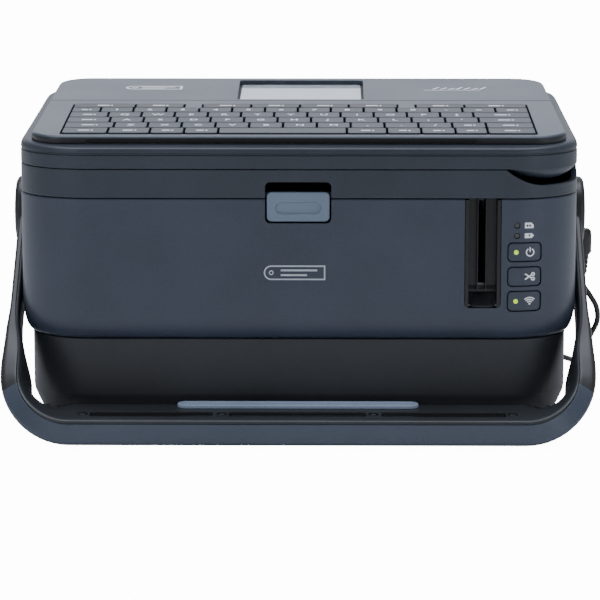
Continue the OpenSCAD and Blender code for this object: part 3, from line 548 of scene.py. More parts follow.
footProfile = [(0.1, 0.2), (7.6, 0.2), (7.9, 0), (8.3, 0), (8.9, 0.6), (9.0, 2.99), (0.1, 2.99)]
feet = [latheShape(footProfile, (x, y, 0)) for x, y in footPlaces]
newPiece("rubber_foot_pads", merged(*feet), "case", "black_rubber", blackRubber, ["rubber_feet"])
print("base and feet made")


# Hinge line across the rear

hingeLook = {"y": 109.5, "coverZ": 119.5, "deckZ": 133.6, "radius": 3.5, "pin": 1.5, "relief": 4.1,
             "length": 19.6, "pitch": 20.0, "count": 9}


def reliefBox(z):
    gap = hingeLook["relief"]
    return boxShape((-150, hingeLook["y"] - gap, z - gap), (150, hingeLook["y"] + 3 * gap, z + gap))


# every second knuckle: a barrel about the pin and a web, up towards the part above or down to the part below
def knuckleShapes(z, first, up):
    shapes = []
    web = hingeLook["radius"] - 0.7
    for i in range(first, hingeLook["count"], 2):
        x = (i - hingeLook["count"] / 2) * hingeLook["pitch"] + 0.2
        r, n = hingeLook["radius"], hingeLook["length"]
        shapes.append(latheShape([(hingeLook["pin"], 0), (r - 0.4, 0), (r, 0.4), (r, n - 0.4), (r - 0.4, n),
                                  (hingeLook["pin"], n)], (x, hingeLook["y"], z), (1, 0, 0), 32))
        near, far = 1.6, hingeLook["relief"] + 0.5
        low, high = (z + near, z + far) if up else (z - far, z - near)
        shapes.append(boxShape((x, hingeLook["y"] - web, low), (x + n, hingeLook["y"] + web, high)))
    return shapes


# plain barrels that close the hinge line at both ends, out to where the corners begin
def endBarrels(z):
    r = hingeLook["radius"]
    profile = [(0.1, 0), (r - 0.4, 0), (r, 0.4), (r, 17.6), (r - 0.4, 18.0), (0.1, 18.0)]
    return [latheShape(profile, (side * 90.4, hingeLook["y"], z), (side, 0, 0), 32) for side in (-1, 1)]


# Case

latchLook = {"halfWidth": 15.5, "low": 105.4, "high": 120.0, "gap": 0.8}
chuteLook = {"x0": 82.0, "x1": 100.0, "z": 62.4, "radius": 2.6}
buttonLook = {"x0": 103.5, "x1": 119.7, "radius": 2.0, "gap": 0.45,
              "spans": [(85.8, 94.8), (73.5, 82.7), (61.0, 70.6)]}
ledLook = {"x": 107.8, "z": [103.6, 98.5]}

# the flare is a quarter ellipse from the seam's inset out to the full width
flare = [(shellLook["inset"] * (1 - math.sin(a)), shellLook["flareTop"] - 15.4 * math.cos(a))
         for a in np.radians(np.linspace(0, 90, 9))]
caseProfile = ([(6.2, 46.25)] + [(5.55, 46.25)] + flare + [(0, z) for z in (76, 90, 104)]
               + arcPath(0.9, 115.8, 0.9, 180, 90, 5) + arcPath(2.2, 116.3, 0.4, 90, 0, 3)
               + [(2.6, 90), (2.6, shellLook["flareTop"]), (7.0, 47.0)])
windows = [frontPrism(-latchLook["halfWidth"] - latchLook["gap"], latchLook["halfWidth"] + latchLook["gap"],
                      latchLook["low"] - latchLook["gap"], 125, 2.5, frontY - 1, frontY + 6),
           frontPrism(chuteLook["x0"], chuteLook["x1"], chuteLook["z"], 130, chuteLook["radius"], frontY - 1,
                      frontY + 8),
           reliefBox(hingeLook["coverZ"])]
windows += [frontPrism(buttonLook["x0"] - buttonLook["gap"], buttonLook["x1"] + buttonLook["gap"],
                       z0 - buttonLook["gap"], z1 + buttonLook["gap"], buttonLook["radius"] + 0.4, frontY - 1,
                       frontY + 12) for z0, z1 in buttonLook["spans"]]
windows += [rodShape(1.5, 0, 12, (ledLook["x"], frontY - 2, z), (0, 1, 0), 24) for z in ledLook["z"]]
windows += [rodShape(5, -8, 8, (side * halfWidth, pivotY, pivotZ), (1, 0, 0)) for side in (-1, 1)]
windows += [rodShape(4.9, 0, 12, (halfWidth - 8, leadLook["plugY"], leadLook["plugZ"]), (1, 0, 0)),
            boxShape((-77, rearY - 6, 69.5), (-63, rearY + 1, 82.5))]
carvedPiece("case_shell", loft([planRing(inset, z) for inset, z in caseProfile], closed=True), windows,
            "case", "case_abs", caseAbs, ["main_case"])
outwardPiece("case_hinge_knuckles", merged(*knuckleShapes(hingeLook["coverZ"], 0, False),
                                           *endBarrels(hingeLook["coverZ"])), "case", "case_abs", caseAbs)

# shelf inside, open over the bin, the cassette, the latch lever, the chute and the hinge
shelfGaps = [blockShape((-128.2, -56.2, 100), (-21.8, 92.2, 120), 26),
             blockShape((27.8, -57.2, 100), (126.2, 42.2, 120), 3),
             boxShape((-20, -80, 100), (20, -57.5, 125)),
             boxShape((chuteLook["x0"], -80, 100), (122.7, -56, 125)),
             boxShape((-150, 105.3, 100), (150, 130, 125))]
shelfProfile = [(2.4, 109.0), (2.4, 111.2), (2.7, 111.5)]
carvedPiece("case_inner_shelf", loft([planRing(inset, z) for inset, z in shelfProfile]), shelfGaps,
            "case", "case_abs", caseAbs)
ears = [blockShape((x, frontY + 1, 92), (x + 2, -59, 100), 0.4, 2) for x in (-10.6, 8.6)]
newPiece("latch_lever_ears", merged(*ears), "case", "case_abs", caseAbs)
print("case made")


# Cover

# the corner's direction: out of the case, turned 30 degrees from the front towards the right side
cornerTurn = math.radians(30)
cornerAt = np.array([halfWidth - cornerR, frontY + cornerR])
scoopLook = {"radius": 27.8, "z": 150.9, "start": 23.0, "turns": [30, 38, 46, 54, 62, 70]}
bulgeLook = {"radius": 26.4, "z": 151.4, "inner": 20.0, "plateau": 24.0}

coverProfile = (arcPath(0.6, 117.6, 0.6, 270, 180, 4) + [(0, z) for z in (121, 126)]
                + arcPath(0.5, 130.6, 0.5, 180, 90, 4) + arcPath(2.6, 130.7, 0.4, 90, 0, 3))


# inside of a cup: the rear wall is thick, because it carries the hinge
def innerRing(z):
    return atHeight(roundedRing(-136.5, 136.5, -70, 102.4, [32, 20, 20, 32], 16, 12), z)


# the scoop is a level cylinder that sweeps round the corner
def scoopTool(degrees):
    way = np.array([math.sin(math.radians(degrees)), -math.cos(math.radians(degrees)), 0])
    start = np.array([*cornerAt, scoopLook["z"]]) + scoopLook["start"] * way
    return rodShape(scoopLook["radius"], 0, 24, start, way, 160)


coverGaps = [reliefBox(hingeLook["coverZ"]), reliefBox(hingeLook["deckZ"]), windows[0]]
coverGaps += [scoopTool(degrees) for degrees in scoopLook["turns"]]
carvedPiece("cover_shell", cupShape(coverProfile, [innerRing(130.3), innerRing(119.4)]), coverGaps,
            "cover", "lid_abs", lidAbs, ["cover_frame"])
lips = [boxShape((x, y0, 108.5), (x + 4, -64.6 - back, top)) for x in (-15, 11)
        for y0, back, top in ((-66.6, 0.6, 118), (-66.6, 0.0, 110.2))]
newPiece("cover_knuckles_and_lips", merged(*knuckleShapes(hingeLook["coverZ"], 1, True),
                                           *knuckleShapes(hingeLook["deckZ"], 0, False),
                                           *endBarrels(hingeLook["deckZ"]), *lips),
         "cover", "lid_abs", lidAbs)
print("cover made")


# Keyboard deck

panelLook = {"front": 134.0, "rear": 132.5, "radius": 18.0, "length": 174.5, "rim": -4.0, "split": 102.2}
deckLook = {"shoulder": 139.8, "sideFront": 2.6, "sideRear": 4.3, "front": 1.1, "grooveLow": 138.1,
            "grooveHigh": 138.9, "grooveDepth": 0.7}


# height of the deck's rim, which is a plane parallel to the panel
def rimZ(y):
    return slopeOrigin[2] + (y - slopeOrigin[1]) * math.tan(slope) + panelLook["rim"] / math.cos(slope)


# shoulder of the deck: a quarter ellipse that leans in at the sides, more towards the rear; t is 0 to 1
def shoulderRing(t):
    ring = planRing(0, deckLook["shoulder"])
    lean = 1 - math.cos(t * math.pi / 2)
    along = np.clip((ring[:, 1] - frontY) / (rearY - frontY), 0, 1)
    side = deckLook["sideFront"] + (deckLook["sideRear"] - deckLook["sideFront"]) * along
    ring[:, 0] *= 1 - lean * side / halfWidth
    middle = (frontY + rearY) / 2
    ring[:, 1] = middle + (ring[:, 1] - middle) * (1 - lean * deckLook["front"] * 2 / (rearY - frontY))
    ring[:, 2] += (rimZ(ring[:, 1]) - deckLook["shoulder"]) * math.sin(t * math.pi / 2)
    return ring


# an outline on the panel's plane, which narrows a little up the slope
def narrowed(ring, w):
    half = panelLook["front"]
    narrow = 1 - (half - panelLook["rear"]) / half * ring[:, 1] / panelLook["length"]
    return onSlope(ring[:, 0] * narrow, ring[:, 1], w)


# edge of the deck's opening under the panel
def openingRing(w):
    inset, half = 6, panelLook["front"]
    return narrowed(roundedRing(-half + inset, half - inset, inset, panelLook["length"] - 9,
                                panelLook["radius"] - inset, 16, 12), w)


sideGroove = [(0, deckLook["grooveLow"] - 0.25), (deckLook["grooveDepth"], deckLook["grooveLow"]),
              (deckLook["grooveDepth"], deckLook["grooveHigh"]), (0, deckLook["grooveHigh"] + 0.25)]
deckProfile = arcPath(0.4, 131.8, 0.4, 270, 180, 3) + [(0, 134.5)] + sideGroove
deckRings = [planRing(inset, z) for inset, z in deckProfile] + [shoulderRing(t) for t in np.linspace(0, 1, 8)]
rimInner = openingRing(panelLook["rim"])
deckRings += [rimInner * 0.06 + deckRings[-1] * 0.94, rimInner, openingRing(panelLook["rim"] - 3),
              innerRing(lambda y: rimZ(y) - 3), innerRing(133.4)]
carvedPiece("deck_shell_body", loft(deckRings), [reliefBox(hingeLook["deckZ"])], "keyboard_deck", "lid_abs",
            lidAbs, ["deck_shell"])
newPiece("deck_hinge_knuckles", merged(*knuckleShapes(hingeLook["deckZ"], 1, True)), "keyboard_deck",
         "lid_abs", lidAbs)

# bowl below the corner. Across it the depth follows a cylinder, level over a plateau of some degrees, and it
# falls away to nothing at the outer edge: depth is root of (R squared less q squared) less drop, times the
# root of (1 less u to the fourth), with q across and u from 0 inside to 1 at the edge
deckLow = shellLook["deckLow"]
drop = bulgeLook["z"] - deckLow
reach = math.sqrt(bulgeLook["radius"] ** 2 - drop ** 2)
across = reach * np.sin(np.linspace(-np.pi / 2, np.pi / 2, 61))[None, :]
level = math.radians(bulgeLook["plateau"]) * (across + reach) / (2 * reach)
u = np.sin(np.linspace(0, np.pi / 2, 17))[:, None]
radial = bulgeLook["inner"] + (cornerR - bulgeLook["inner"]) * u + 0 * across
turn = np.arcsin(np.clip(across / radial, -1, 1)) + level
depth = (np.sqrt(bulgeLook["radius"] ** 2 - across ** 2) - drop) * np.sqrt(1 - u ** 4 * 0.995)
bowlX = cornerAt[0] + radial * np.sin(cornerTurn + turn)
bowlY = cornerAt[1] - radial * np.cos(cornerTurn + turn)
lower = np.stack([bowlX, bowlY, deckLow - np.maximum(depth, 0)], -1)
upper = np.stack([bowlX, bowlY, np.full_like(depth, 131.9)], -1)
rows, cols = depth.shape
under = [face[::-1] for face in gridFaces(rows, cols, wrapCols=False)]
over = [[i + rows * cols for i in face] for face in gridFaces(rows, cols, wrapCols=False)]
border = np.concatenate([np.arange(cols), np.arange(1, rows) * cols + cols - 1,
                         (rows - 1) * cols + np.arange(cols - 2, -1, -1), np.arange(rows - 2, 0, -1) * cols])
wallFaces = [[int(a), int(b), int(b) + rows * cols, int(a) + rows * cols]
             for a, b in zip(border, np.roll(border, -1))]
newPiece("deck_corner_bowl", (np.concatenate([lower.reshape(-1, 3), upper.reshape(-1, 3)]),
                              under + over + wallFaces), "keyboard_deck", "lid_abs", lidAbs)
print("keyboard deck made")


# Panel on the slope

displayLook = {"halfWidth": 33.5, "v0": 106.2, "v1": 165.2}
fieldLook = {"halfWidth": 118.5, "v0": 6.5, "v1": 90.5}
lipLook = {"x0": -105.0, "x1": 88.0, "low": -3.6, "high": -1.6, "depth": 0.5}

# section of the panel's edge: up the lip, round over the top
edgeProfile = [(0.8, -4.0), (0.5, -3.8), (0.5, -1.9)]
edgeProfile += [(0.5 + 1.7 * (1 - math.cos(a)), -1.9 + 1.9 * math.sin(a))
                for a in np.radians(np.linspace(15, 90, 6))]


# front half or rear half of the panel, round an opening; each outline is (inset, w) with its own corner radii
def panelHalf(v0, v1, radius, cutEdges, hole, holeRadius):
    rings = []
    for inset, w in edgeProfile:
        left, right, low, high = [inset if rounded else 0.25 * (inset > 1) for rounded in cutEdges]
        half = panelLook["front"]
        ring = roundedRing(-half + left, half - right, v0 + low, v1 - high,
                           [max(r - (inset if r > 2 else 0), 0.05) for r in radius], 16, 12)
        rings.append(narrowed(ring, w))
    for grow, w in ((0.9, 0.0), (0.5, 0.0), (0.12, -0.12), (0.0, -0.5), (0.0, -4.0)):
        u0, u1, h0, h1 = hole
        ring = roundedRing(u0 - grow, u1 + grow, h0 - grow, h1 + grow, holeRadius + grow, 16, 12)
        rings.append(onSlope(ring[:, 0], ring[:, 1], w))
    return loft(rings, closed=True)


# faces near the front that stand up from the slope, turned away from the light, get a darker copy of the
# panel plastic: painted shade on the lip
def paintShadeOnLip(item, material, limit=0.45):
    item.data.materials.append(material)
    normals = np.zeros(len(item.data.polygons) * 3)
    item.data.polygons.foreach_get("normal", normals)
    centres = np.zeros(len(item.data.polygons) * 3)
    item.data.polygons.foreach_get("center", centres)
    up = normals.reshape(-1, 3) @ np.array([0, -math.sin(slope), math.cos(slope)])
    outer = centres.reshape(-1, 3)[:, 1] < (slopeOrigin[1] + 24) * mm
    item.data.polygons.foreach_set("material_index", ((up < limit) & outer).astype(int))


bezel = makeObject("keyboard_bezel_panel", panelHalf(0, panelLook["split"], [18, 0.3, 0.3, 18], (1, 1, 1, 0),
                   (-fieldLook["halfWidth"], fieldLook["halfWidth"], fieldLook["v0"], fieldLook["v1"]), 1.2))
grooveRing = roundedRing(lipLook["x0"], lipLook["x1"], lipLook["low"], lipLook["high"], 0.98, 8, 1)
groove = loft([onSlope(grooveRing[:, 0], v, grooveRing[:, 1]) for v in (0.5 + lipLook["depth"], -3)])
finishPiece(carve(bezel, [groove]), "keyboard_deck", "panel_abs", panelAbs, ["keyboard_bezel"])
# the lip's steep faces take the darker copy: painted shade
paintShadeOnLip(bezel, lipPaintedShadeAbs)
# a thin extra-dark strip on the floor of the lip groove: painted shade in the groove
stripRing = roundedRing(lipLook["x0"] + 0.1, lipLook["x1"] - 0.1, lipLook["low"] + 0.1, lipLook["high"] - 0.1,
                        0.85, 8, 1)
outwardPiece("bezel_groove_shade_strip", loft([onSlope(stripRing[:, 0], v, stripRing[:, 1]) for v in (1.3, 0.85)]),
             "keyboard_deck", "black_abs", blackAbsAndRecessShade)

# the key field: where rows begin up the slope, and the widths of their cells from the left
rowLines = [7, 21.5, 36, 50.5, 65, 78.5, 90]
blank = 9.4
keyCells = [
    [23, 21, 17, 17, 64, 20, 17, 17, 16, 24],
    [25] + [17] * 11 + [24],
    [22] + [17] * 11 + [27],
    [20] + [17] * 11 + [29],
    [15] + [17] * 13,
    [32.4, 25.4, -blank, 25.4, 25.4, 25.4, 25.4, -blank, 25.4, 32.4],
]


# left edge and width of each cell of a row; blanks have a negative width
def cellSpans(row):
    widths = np.array(keyCells[row], float)
    return -118 + np.concatenate([[0], np.cumsum(np.abs(widths))[:-1]]), widths


starts, widths = cellSpans(5)


def slopePad(x0, x1, v0, v1, radius, levels, arc=4, side=1):
    rings = []
    for inset, w in levels:
        ring = roundedRing(x0 + inset, x1 - inset, v0 + inset, v1 - inset, max(radius - inset, 0.05),
                           arc, side)
        rings.append(onSlope(ring[:, 0], ring[:, 1], w))
    return loft(rings)


# blank islands beside the function keys
islandLevels = [(0, -3.9), (0, -0.5), (0.15, -0.12), (0.5, 0.0)]
islands = [slopePad(x + 0.4, x - w - 0.4, rowLines[5] + 0.4, 91.5, 0.8, islandLevels)
           for x, w in zip(starts, widths) if w < 0]
newPiece("bezel_islands", merged(*islands), "keyboard_deck", "panel_abs", panelAbs)

displayHole = (-displayLook["halfWidth"], displayLook["halfWidth"], displayLook["v0"], displayLook["v1"])
displayShape = panelHalf(panelLook["split"] + 0.4, panelLook["length"], [0.3, 18, 18, 0.3], (1, 1, 0, 1),
                         displayHole, 2.0)
windowSeat = slopePad(-36.5, 36.5, 103.2, 168.2, 1.5, [(0, -10), (0, -2.2)])
carvedPiece("display_panel_cover", displayShape, [windowSeat], "keyboard_deck", "panel_abs", panelAbs,
            ["display_panel"])
borderRings = []
for grow, w in ((2.6, -2.24), (2.6, -2.2), (-1.3, -2.2), (-1.3, -2.24)):
    ring = roundedRing(-displayLook["halfWidth"] - grow, displayLook["halfWidth"] + grow,
                       displayLook["v0"] - grow, displayLook["v1"] + grow, 2.8 + grow * 0.3, 8, 4)
    borderRings.append(onSlope(ring[:, 0], ring[:, 1], w))
newPiece("display_border_print", loft(borderRings, closed=True), "keyboard_deck", "black_abs", blackInk)
print("panel made")


# Keys

capLook = {"gap": 1.1, "low": -3.2, "top": 0.6, "radius": 1.2, "fillet": 0.45, "dish": 0.12}


# keycap: straight skirt, rounded shoulder, shallow dish
def keyCap(x0, x1, v0, v1):
    top, f = capLook["top"], capLook["fillet"]
    levels = [(0.15, capLook["low"]), (0, capLook["low"] + 0.2), (0, top - f)]
    levels += [(f * (1 - math.cos(a)), top - f + f * math.sin(a)) for a in np.radians([25, 50, 75, 90])]
    levels += [(f + 0.9, top - capLook["dish"] * 0.5), (f + 2.2, top - capLook["dish"])]
    g = capLook["gap"] / 2
    return slopePad(x0 + g, x1 - g, v0 + g, v1 - g, capLook["radius"], levels, 5, 1)


# legends: one letter or a short mark in the middle of each cap
glyphs = {}


# outline of a glyph of the built-in face as flat mesh data, one unit high
def glyphShape(text):
    if text not in glyphs:
        font = bpy.data.curves.new("glyph", "FONT")
        font.body = text
        font.align_x = "CENTER"
        font.align_y = "CENTER"
        font.resolution_u = 3
        font.offset = 0.025
        holder = bpy.data.objects.new("glyph", font)
        bpy.context.scene.collection.objects.link(holder)
        bpy.context.view_layer.update()
        mesh = bpy.data.meshes.new_from_object(holder.evaluated_get(bpy.context.evaluated_depsgraph_get()))
        points = np.zeros(len(mesh.vertices) * 3)
        mesh.vertices.foreach_get("co", points)
        glyphs[text] = (points.reshape(-1, 3)[:, :2], [list(face.vertices) for face in mesh.polygons])
        bpy.data.objects.remove(holder)
    return glyphs[text]


# flat faces lifted to a thin slab through a mapping of (x, y, height); top, bottom and border walls
def slabOf(points, faces, place, low, high):
    n = len(points)
    edges = dict.fromkeys((a, b) for face in faces for a, b in zip(face, face[1:] + face[:1]))
    walls = [[a, b, b + n, a + n] for a, b in edges if (b, a) not in edges]
    allPoints = np.concatenate([place(points, low), place(points, high)])
    return allPoints, [face[::-1] for face in faces] + [[i + n for i in face] for face in faces] + walls


def outlineSlab(outline, place, low, high):
    outline = np.asarray(outline, float)
    return slabOf(outline, [list(range(len(outline)))], place, low, high)


def capPlace(points, w):
    return onSlope(points[:, 0], points[:, 1], w)


letterRows = {
    4: [""] + list("1234567890-=") + [""],
    3: [""] + list("QWERTYUIOP[") + [""],
    2: [""] + list("ASDFGHJKL;'") + [""],
    1: [""] + list("ZXCVBNM,./") + ["", ""],
    0: [""] * 10,
    5: [""] * 10,
}
legendLook = {"size": 5.8, "low": 0.42, "high": 0.54, "barHeight": 2.2}
keyRows = [
    ("function_keys", 5, range(0, 10), blackKeyAbs, "function_key_abs"),
    ("number_keys", 4, range(0, 14), keyAbs, "key_abs"),
    ("upper_letter_keys", 3, range(0, 13), keyAbs, "key_abs"),
    ("middle_letter_keys", 2, range(0, 12), keyAbs, "key_abs"),
    ("enter_key", 2, range(12, 13), keyAbs, "key_abs"),
    ("lower_letter_keys", 1, range(0, 13), keyAbs, "key_abs"),
    ("bottom_row_keys", 0, [0, 1, 2, 3, 5, 6, 7, 8, 9], keyAbs, "key_abs"),
    ("space_bar", 0, [4], keyAbs, "key_abs"),
]
for body, row, cells, material, slotName in keyRows:
    starts, widths = cellSpans(row)
    caps, legends = [], []
    for i in cells:
        if widths[i] < 0:
            continue
        x0, x1 = starts[i], starts[i] + widths[i]
        v0, v1 = rowLines[row], rowLines[row + 1]
        caps.append(keyCap(x0, x1, v0, v1))
        centre = np.array([(x0 + x1) / 2, (v0 + v1) / 2])
        text = letterRows[row][i]
        if text:
            points, faces = glyphShape(text)
            legends.append(slabOf(points * legendLook["size"] + centre, faces, capPlace,
                                  legendLook["low"], legendLook["high"]))
        elif body != "space_bar":
            # a plain bar with a dot after it stands for the words of the wide keys
            long = min(widths[i] * 0.3, 7.5)
            h = legendLook["barHeight"] / 2
            for a, b in ((-long / 2, long / 2 - 1.2), (long / 2 - 0.5, long / 2 + 0.6)):
                bar = roundedRing(centre[0] + a, centre[0] + b, centre[1] - h, centre[1] + h, 0.4, 3, 1)
                legends.append(outlineSlab(bar, capPlace, legendLook["low"], legendLook["high"]))
    newPiece(body + "_caps", merged(*caps), body, slotName, material, [body], 40)
    if legends:
        newPiece(body + "_legends", merged(*legends), body, slotName, whiteInkPaintedGlow, (), 40, False)
print("keys made")


# Front controls

# front face of the case: flat, then round the corner; depth runs inwards
def frontSkin(x, z, depth):
    x, z, depth = np.broadcast_arrays(np.asarray(x, float), z, depth)
    past = np.clip(np.abs(x) - cornerAt[0], 0, cornerR * 0.95)
    normalX = np.sign(x) * past / cornerR
    normalY = -np.sqrt(1 - normalX ** 2)
    onY = cornerAt[1] + cornerR * normalY
    return np.stack([x - normalX * depth, onY - normalY * depth, z], -1)


def skinPlace(points, depth):
    return frontSkin(points[:, 0], points[:, 1], depth)


# button: skirt, rounded shoulder, then rings that close in over the curved face
for name, (z0, z1) in zip(("power_button", "cut_button", "wireless_button"), buttonLook["spans"]):
    levels = [(0.0, 2.5), (0.0, 0.5)] + [(0.5 * (1 - math.cos(a)), 0.5 - 0.5 * math.sin(a))
                                         for a in np.radians([30, 60, 90])]
    levels += [(inset, 0.0) for inset in (1.2, 2.2, 3.2, (z1 - z0) / 2 - 0.12)]
    rings = []
    for inset, depth in levels:
        ring = roundedRing(buttonLook["x0"] + inset, buttonLook["x1"] - inset, z0 + inset, z1 - inset,
                           max(buttonLook["radius"] - inset, 0.05), 8, 10)
        rings.append(frontSkin(ring[:, 0], ring[:, 1], depth))
    outwardPiece(name + "_face", loft(rings), name, "panel_abs", buttonAbs, [name], 40)


def disc(x, z, radius, count=24):
    a = np.linspace(0, 2 * np.pi, count, endpoint=False)
    return np.column_stack([x + radius * np.cos(a), z + radius * np.sin(a)])


# part of a ring between two radii, as one outline
def arcBand(x, z, inner, outer, start, end, count=20):
    a = np.radians(np.linspace(start, end, count))
    out = np.column_stack([x + outer * np.cos(a), z + outer * np.sin(a)])
    back = np.column_stack([x + inner * np.cos(a[::-1]), z + inner * np.sin(a[::-1])])
    return np.concatenate([out, back])


def bar(x0, z0, x1, z1, width):
    along = np.array([x1 - x0, z1 - z0], float)
    along /= np.linalg.norm(along)
    side = np.array([-along[1], along[0]]) * width / 2
    a, b = np.array([x0, z0]), np.array([x1, z1])
    return np.array([a - side, b - side, b + side, a + side])


def printed(name, outlines, body, slotName, material, low=0.05, high=-0.07):
    shape = merged(*[outlineSlab(outline, skinPlace, low, high) for outline in outlines])
    return outwardPiece(name, shape, body, slotName, material, (), 40, False)


iconLook = {"x": 114.3, "dotX": 107.4, "dotRadius": 1.15}
powerZ, cutZ, wirelessZ = [(z0 + z1) / 2 for z0, z1 in buttonLook["spans"]]
cx = iconLook["x"]
printed("power_symbol", [arcBand(cx, powerZ - 0.1, 1.55, 2.15, -240, 60, 32),
                         bar(cx, powerZ + 0.1, cx, powerZ + 2.4, 0.6)], "power_button", "panel_abs", whiteInkPaintedGlow)
for name, z in (("power", powerZ), ("wireless", wirelessZ)):
    printed(name + "_light", [disc(iconLook["dotX"], z, iconLook["dotRadius"])], name + "_button",
            "panel_abs", greenLens)
wavesZ = wirelessZ - 1.7
printed("wireless_symbol", [disc(cx, wavesZ + 0.35, 0.5, 16)]
        + [arcBand(cx, wavesZ, r, r + 0.55, 45, 135, 14) for r in (1.35, 2.3, 3.25)],
        "wireless_button", "panel_abs", whiteInkPaintedGlow)
printed("scissors_symbol", [bar(cx - 2.4, cutZ + 1.4, cx + 1.2, cutZ - 1.0, 0.7),
                            bar(cx - 2.4, cutZ - 1.4, cx + 1.2, cutZ + 1.0, 0.7)]
        + [arcBand(cx + 1.6, cutZ + s * 1.15, 0.4, 1.0, a, a + 180, 12) for s in (-1, 1) for a in (0, 180)],
        "cut_button", "panel_abs", whiteInkPaintedGlow)

# marks beside the indicator holes: a cassette with one cut corner, and a tag that points right
upZ, lowZ = ledLook["z"]
cassetteMark = np.array([[-2.2, -1.4], [2.2, -1.4], [2.2, 0.3], [1.0, 1.4], [-2.2, 1.4]]) + [cx - 0.6, upZ]
tagMark = np.array([[-2.2, -1.2], [1.3, -1.2], [2.4, 0], [1.3, 1.2], [-2.2, 1.2]]) + [cx - 0.6, lowZ]
printed("indicator_marks", [cassetteMark, tagMark], "case", "case_abs", whiteInkPaintedGlow)
printed("indicator_mark_details", [disc(cx - 1.5, upZ - 0.1, 0.5, 12), disc(cx - 0.2, upZ - 0.1, 0.5, 12),
                                   np.array([[0.0, 0.6], [0.6, -0.5], [1.2, 0.6]]) + [cx - 1.0, lowZ]],
        "case", "case_abs", caseAbs, 0.0, -0.09)

# latch: shoulder round the face, then a shallow finger recess with a rounded brim
latchRings = []
latchProfile = [(0.3, -70.2), (0.0, -70.4), (0.0, -72.2)]
latchProfile += [(0.8 * (1 - math.cos(a)), -72.2 - 0.8 * math.sin(a)) for a in np.radians([25, 50, 75, 90])]
for inset, y in latchProfile:
    ring = roundedRing(-latchLook["halfWidth"] + inset, latchLook["halfWidth"] - inset,
                       latchLook["low"] + inset, latchLook["high"] - inset, 2.4 - inset, 8, 6)
    latchRings.append(atDepth(ring, y))
recessProfile = [(-0.5, -73.0), (-0.15, -72.92), (0.15, -72.65), (0.35, -72.2), (0.7, -72.0), (1.6, -71.95)]
for inset, y in recessProfile:
    ring = roundedRing(-11.3 + inset, 11.3 - inset, 109 + inset, 115 - inset, 2.95 - inset, 8, 6)
    latchRings.append(atDepth(ring, y))
latchStem = blockShape((-9, -70.5, 109.2), (9, -64.3, 111.2), 0.3, 2)
outwardPiece("latch_button_face", merged(loft(latchRings), latchStem), "latch_button", "latch_abs", latchAbs,
             ["latch_button"])

# chute: guide ribs and a dished floor that slopes out of the front
ribs = [boxShape((x, -67.5, 70), (x + 0.5, -60, 116)) for x in (88.4, 92.6)]
newPiece("chute_guide_ribs", merged(*ribs), "case", "black_abs", linerAbs)
t = np.linspace(0, 1, 12)[:, None]
s = np.linspace(-1, 1, 17)[None, :]
floorX = (chuteLook["x0"] + chuteLook["x1"]) / 2 + s * 6.9 + 0 * t
floorY = -72.6 + 9.6 * t + 0 * s
floorZ = 62.9 + 5.8 * t ** 1.2 + 1.6 * np.abs(s) ** 5 * (1 - t)
top = np.stack([floorX, floorY, floorZ], -1)
low = np.stack([floorX, floorY, floorZ * 0 + 62.75], -1)
outwardPiece("chute_floor", loft(np.concatenate([low, top[:, ::-1]], 1)), "case", "black_abs", smokedAbs)
print("front controls made")


# Generic marks

markLook = {"frontX": -1.6, "frontZ": 80.0}


# outline of a label tag with a hole, split into two halves so that each is one outline
def tagOutlines(x, z, long, high, line):
    left, right = x - long / 2 + high / 2, x + long / 2
    a = [bar(left, z + side * high / 2, right, z + side * high / 2, line) for side in (1, -1)]
    a += [bar(right - line / 2, z - high / 2 + line / 2, right - line / 2, z + high / 2 - line / 2, line),
          arcBand(left, z, high / 2 - line / 2, high / 2 + line / 2, 90, 270, 24)]
    return a + [arcBand(left, z, high * 0.1, high * 0.18, s, s + 180, 10) for s in (0, 180)]


markX, markZ = markLook["frontX"], markLook["frontZ"]
emblem = tagOutlines(markX, markZ, 30, 6.6, 0.7)
emblem += [bar(markX - 7, markZ + z, markX + x, markZ + z, 0.9) for x, z in ((11, 1.2), (6, -1.2))]
printed("front_emblem", emblem, "case", "case_abs", silverInkPaintedGlow, 0.05, -0.12)


def panelMark(name, outlines):
    shape = merged(*[outlineSlab(outline, capPlace, -0.05, 0.06) for outline in outlines])
    return newPiece(name, shape, "keyboard_deck", "panel_abs", whiteInkPaintedGlow, (), 40, False)


panelMark("panel_tag_mark", tagOutlines(-79, 141, 30, 9, 1.3)
          + [bar(-86, 143, -68, 143, 1.4), bar(-86, 139.5, -73, 139.5, 1.4)])
panelMark("panel_line_mark", [bar(71 + 4.2 * k, 136.5, 74.5 + 4.2 * k, 143.5 - (k % 3) * 1.6, 1.2)
                              for k in range(7)] + [bar(66, 134, 96, 134, 0.9)])
print("marks made")


# Carry handle

handleLook = {"armX": 143.0, "armT": 5.6, "armW": 22.0, "barW": 38.5, "lowT": 11.7, "barT": 14.0,
              "bend": 29.0, "barY": -93.68, "barZ": 7.5, "tuck": 2.8, "liner": 2.0, "armPower": 0.42,
              "topPower": 0.2, "lowPower": 0.34, "hub0": 139.9, "hub1": 148.3, "coverFrom": 24.0,
              "step": 3.0, "turnStep": 4.5}
h = handleLook
barS = math.hypot(h["barY"] - pivotY, h["barZ"] - pivotZ)
armAngle = math.atan2(pivotZ - h["barZ"], pivotY - h["barY"])
lastS = barS - h["bend"]


# middle line of half the handle: x, distance s along the arm, angle of the bend
def handleStations(first):
    s = np.append(np.arange(first, lastS, h["step"]), lastS)
    x = h["armX"] - h["tuck"] * smoothStep((s - 85) / (lastS - 85))
    arm = np.column_stack([x, s, 0 * s])
    a = np.radians(np.arange(h["turnStep"], 90.01, h["turnStep"]))
    bend = np.column_stack([x[-1] - h["bend"] * (1 - np.cos(a)), lastS + h["bend"] * np.sin(a), a])
    return np.concatenate([arm, bend])


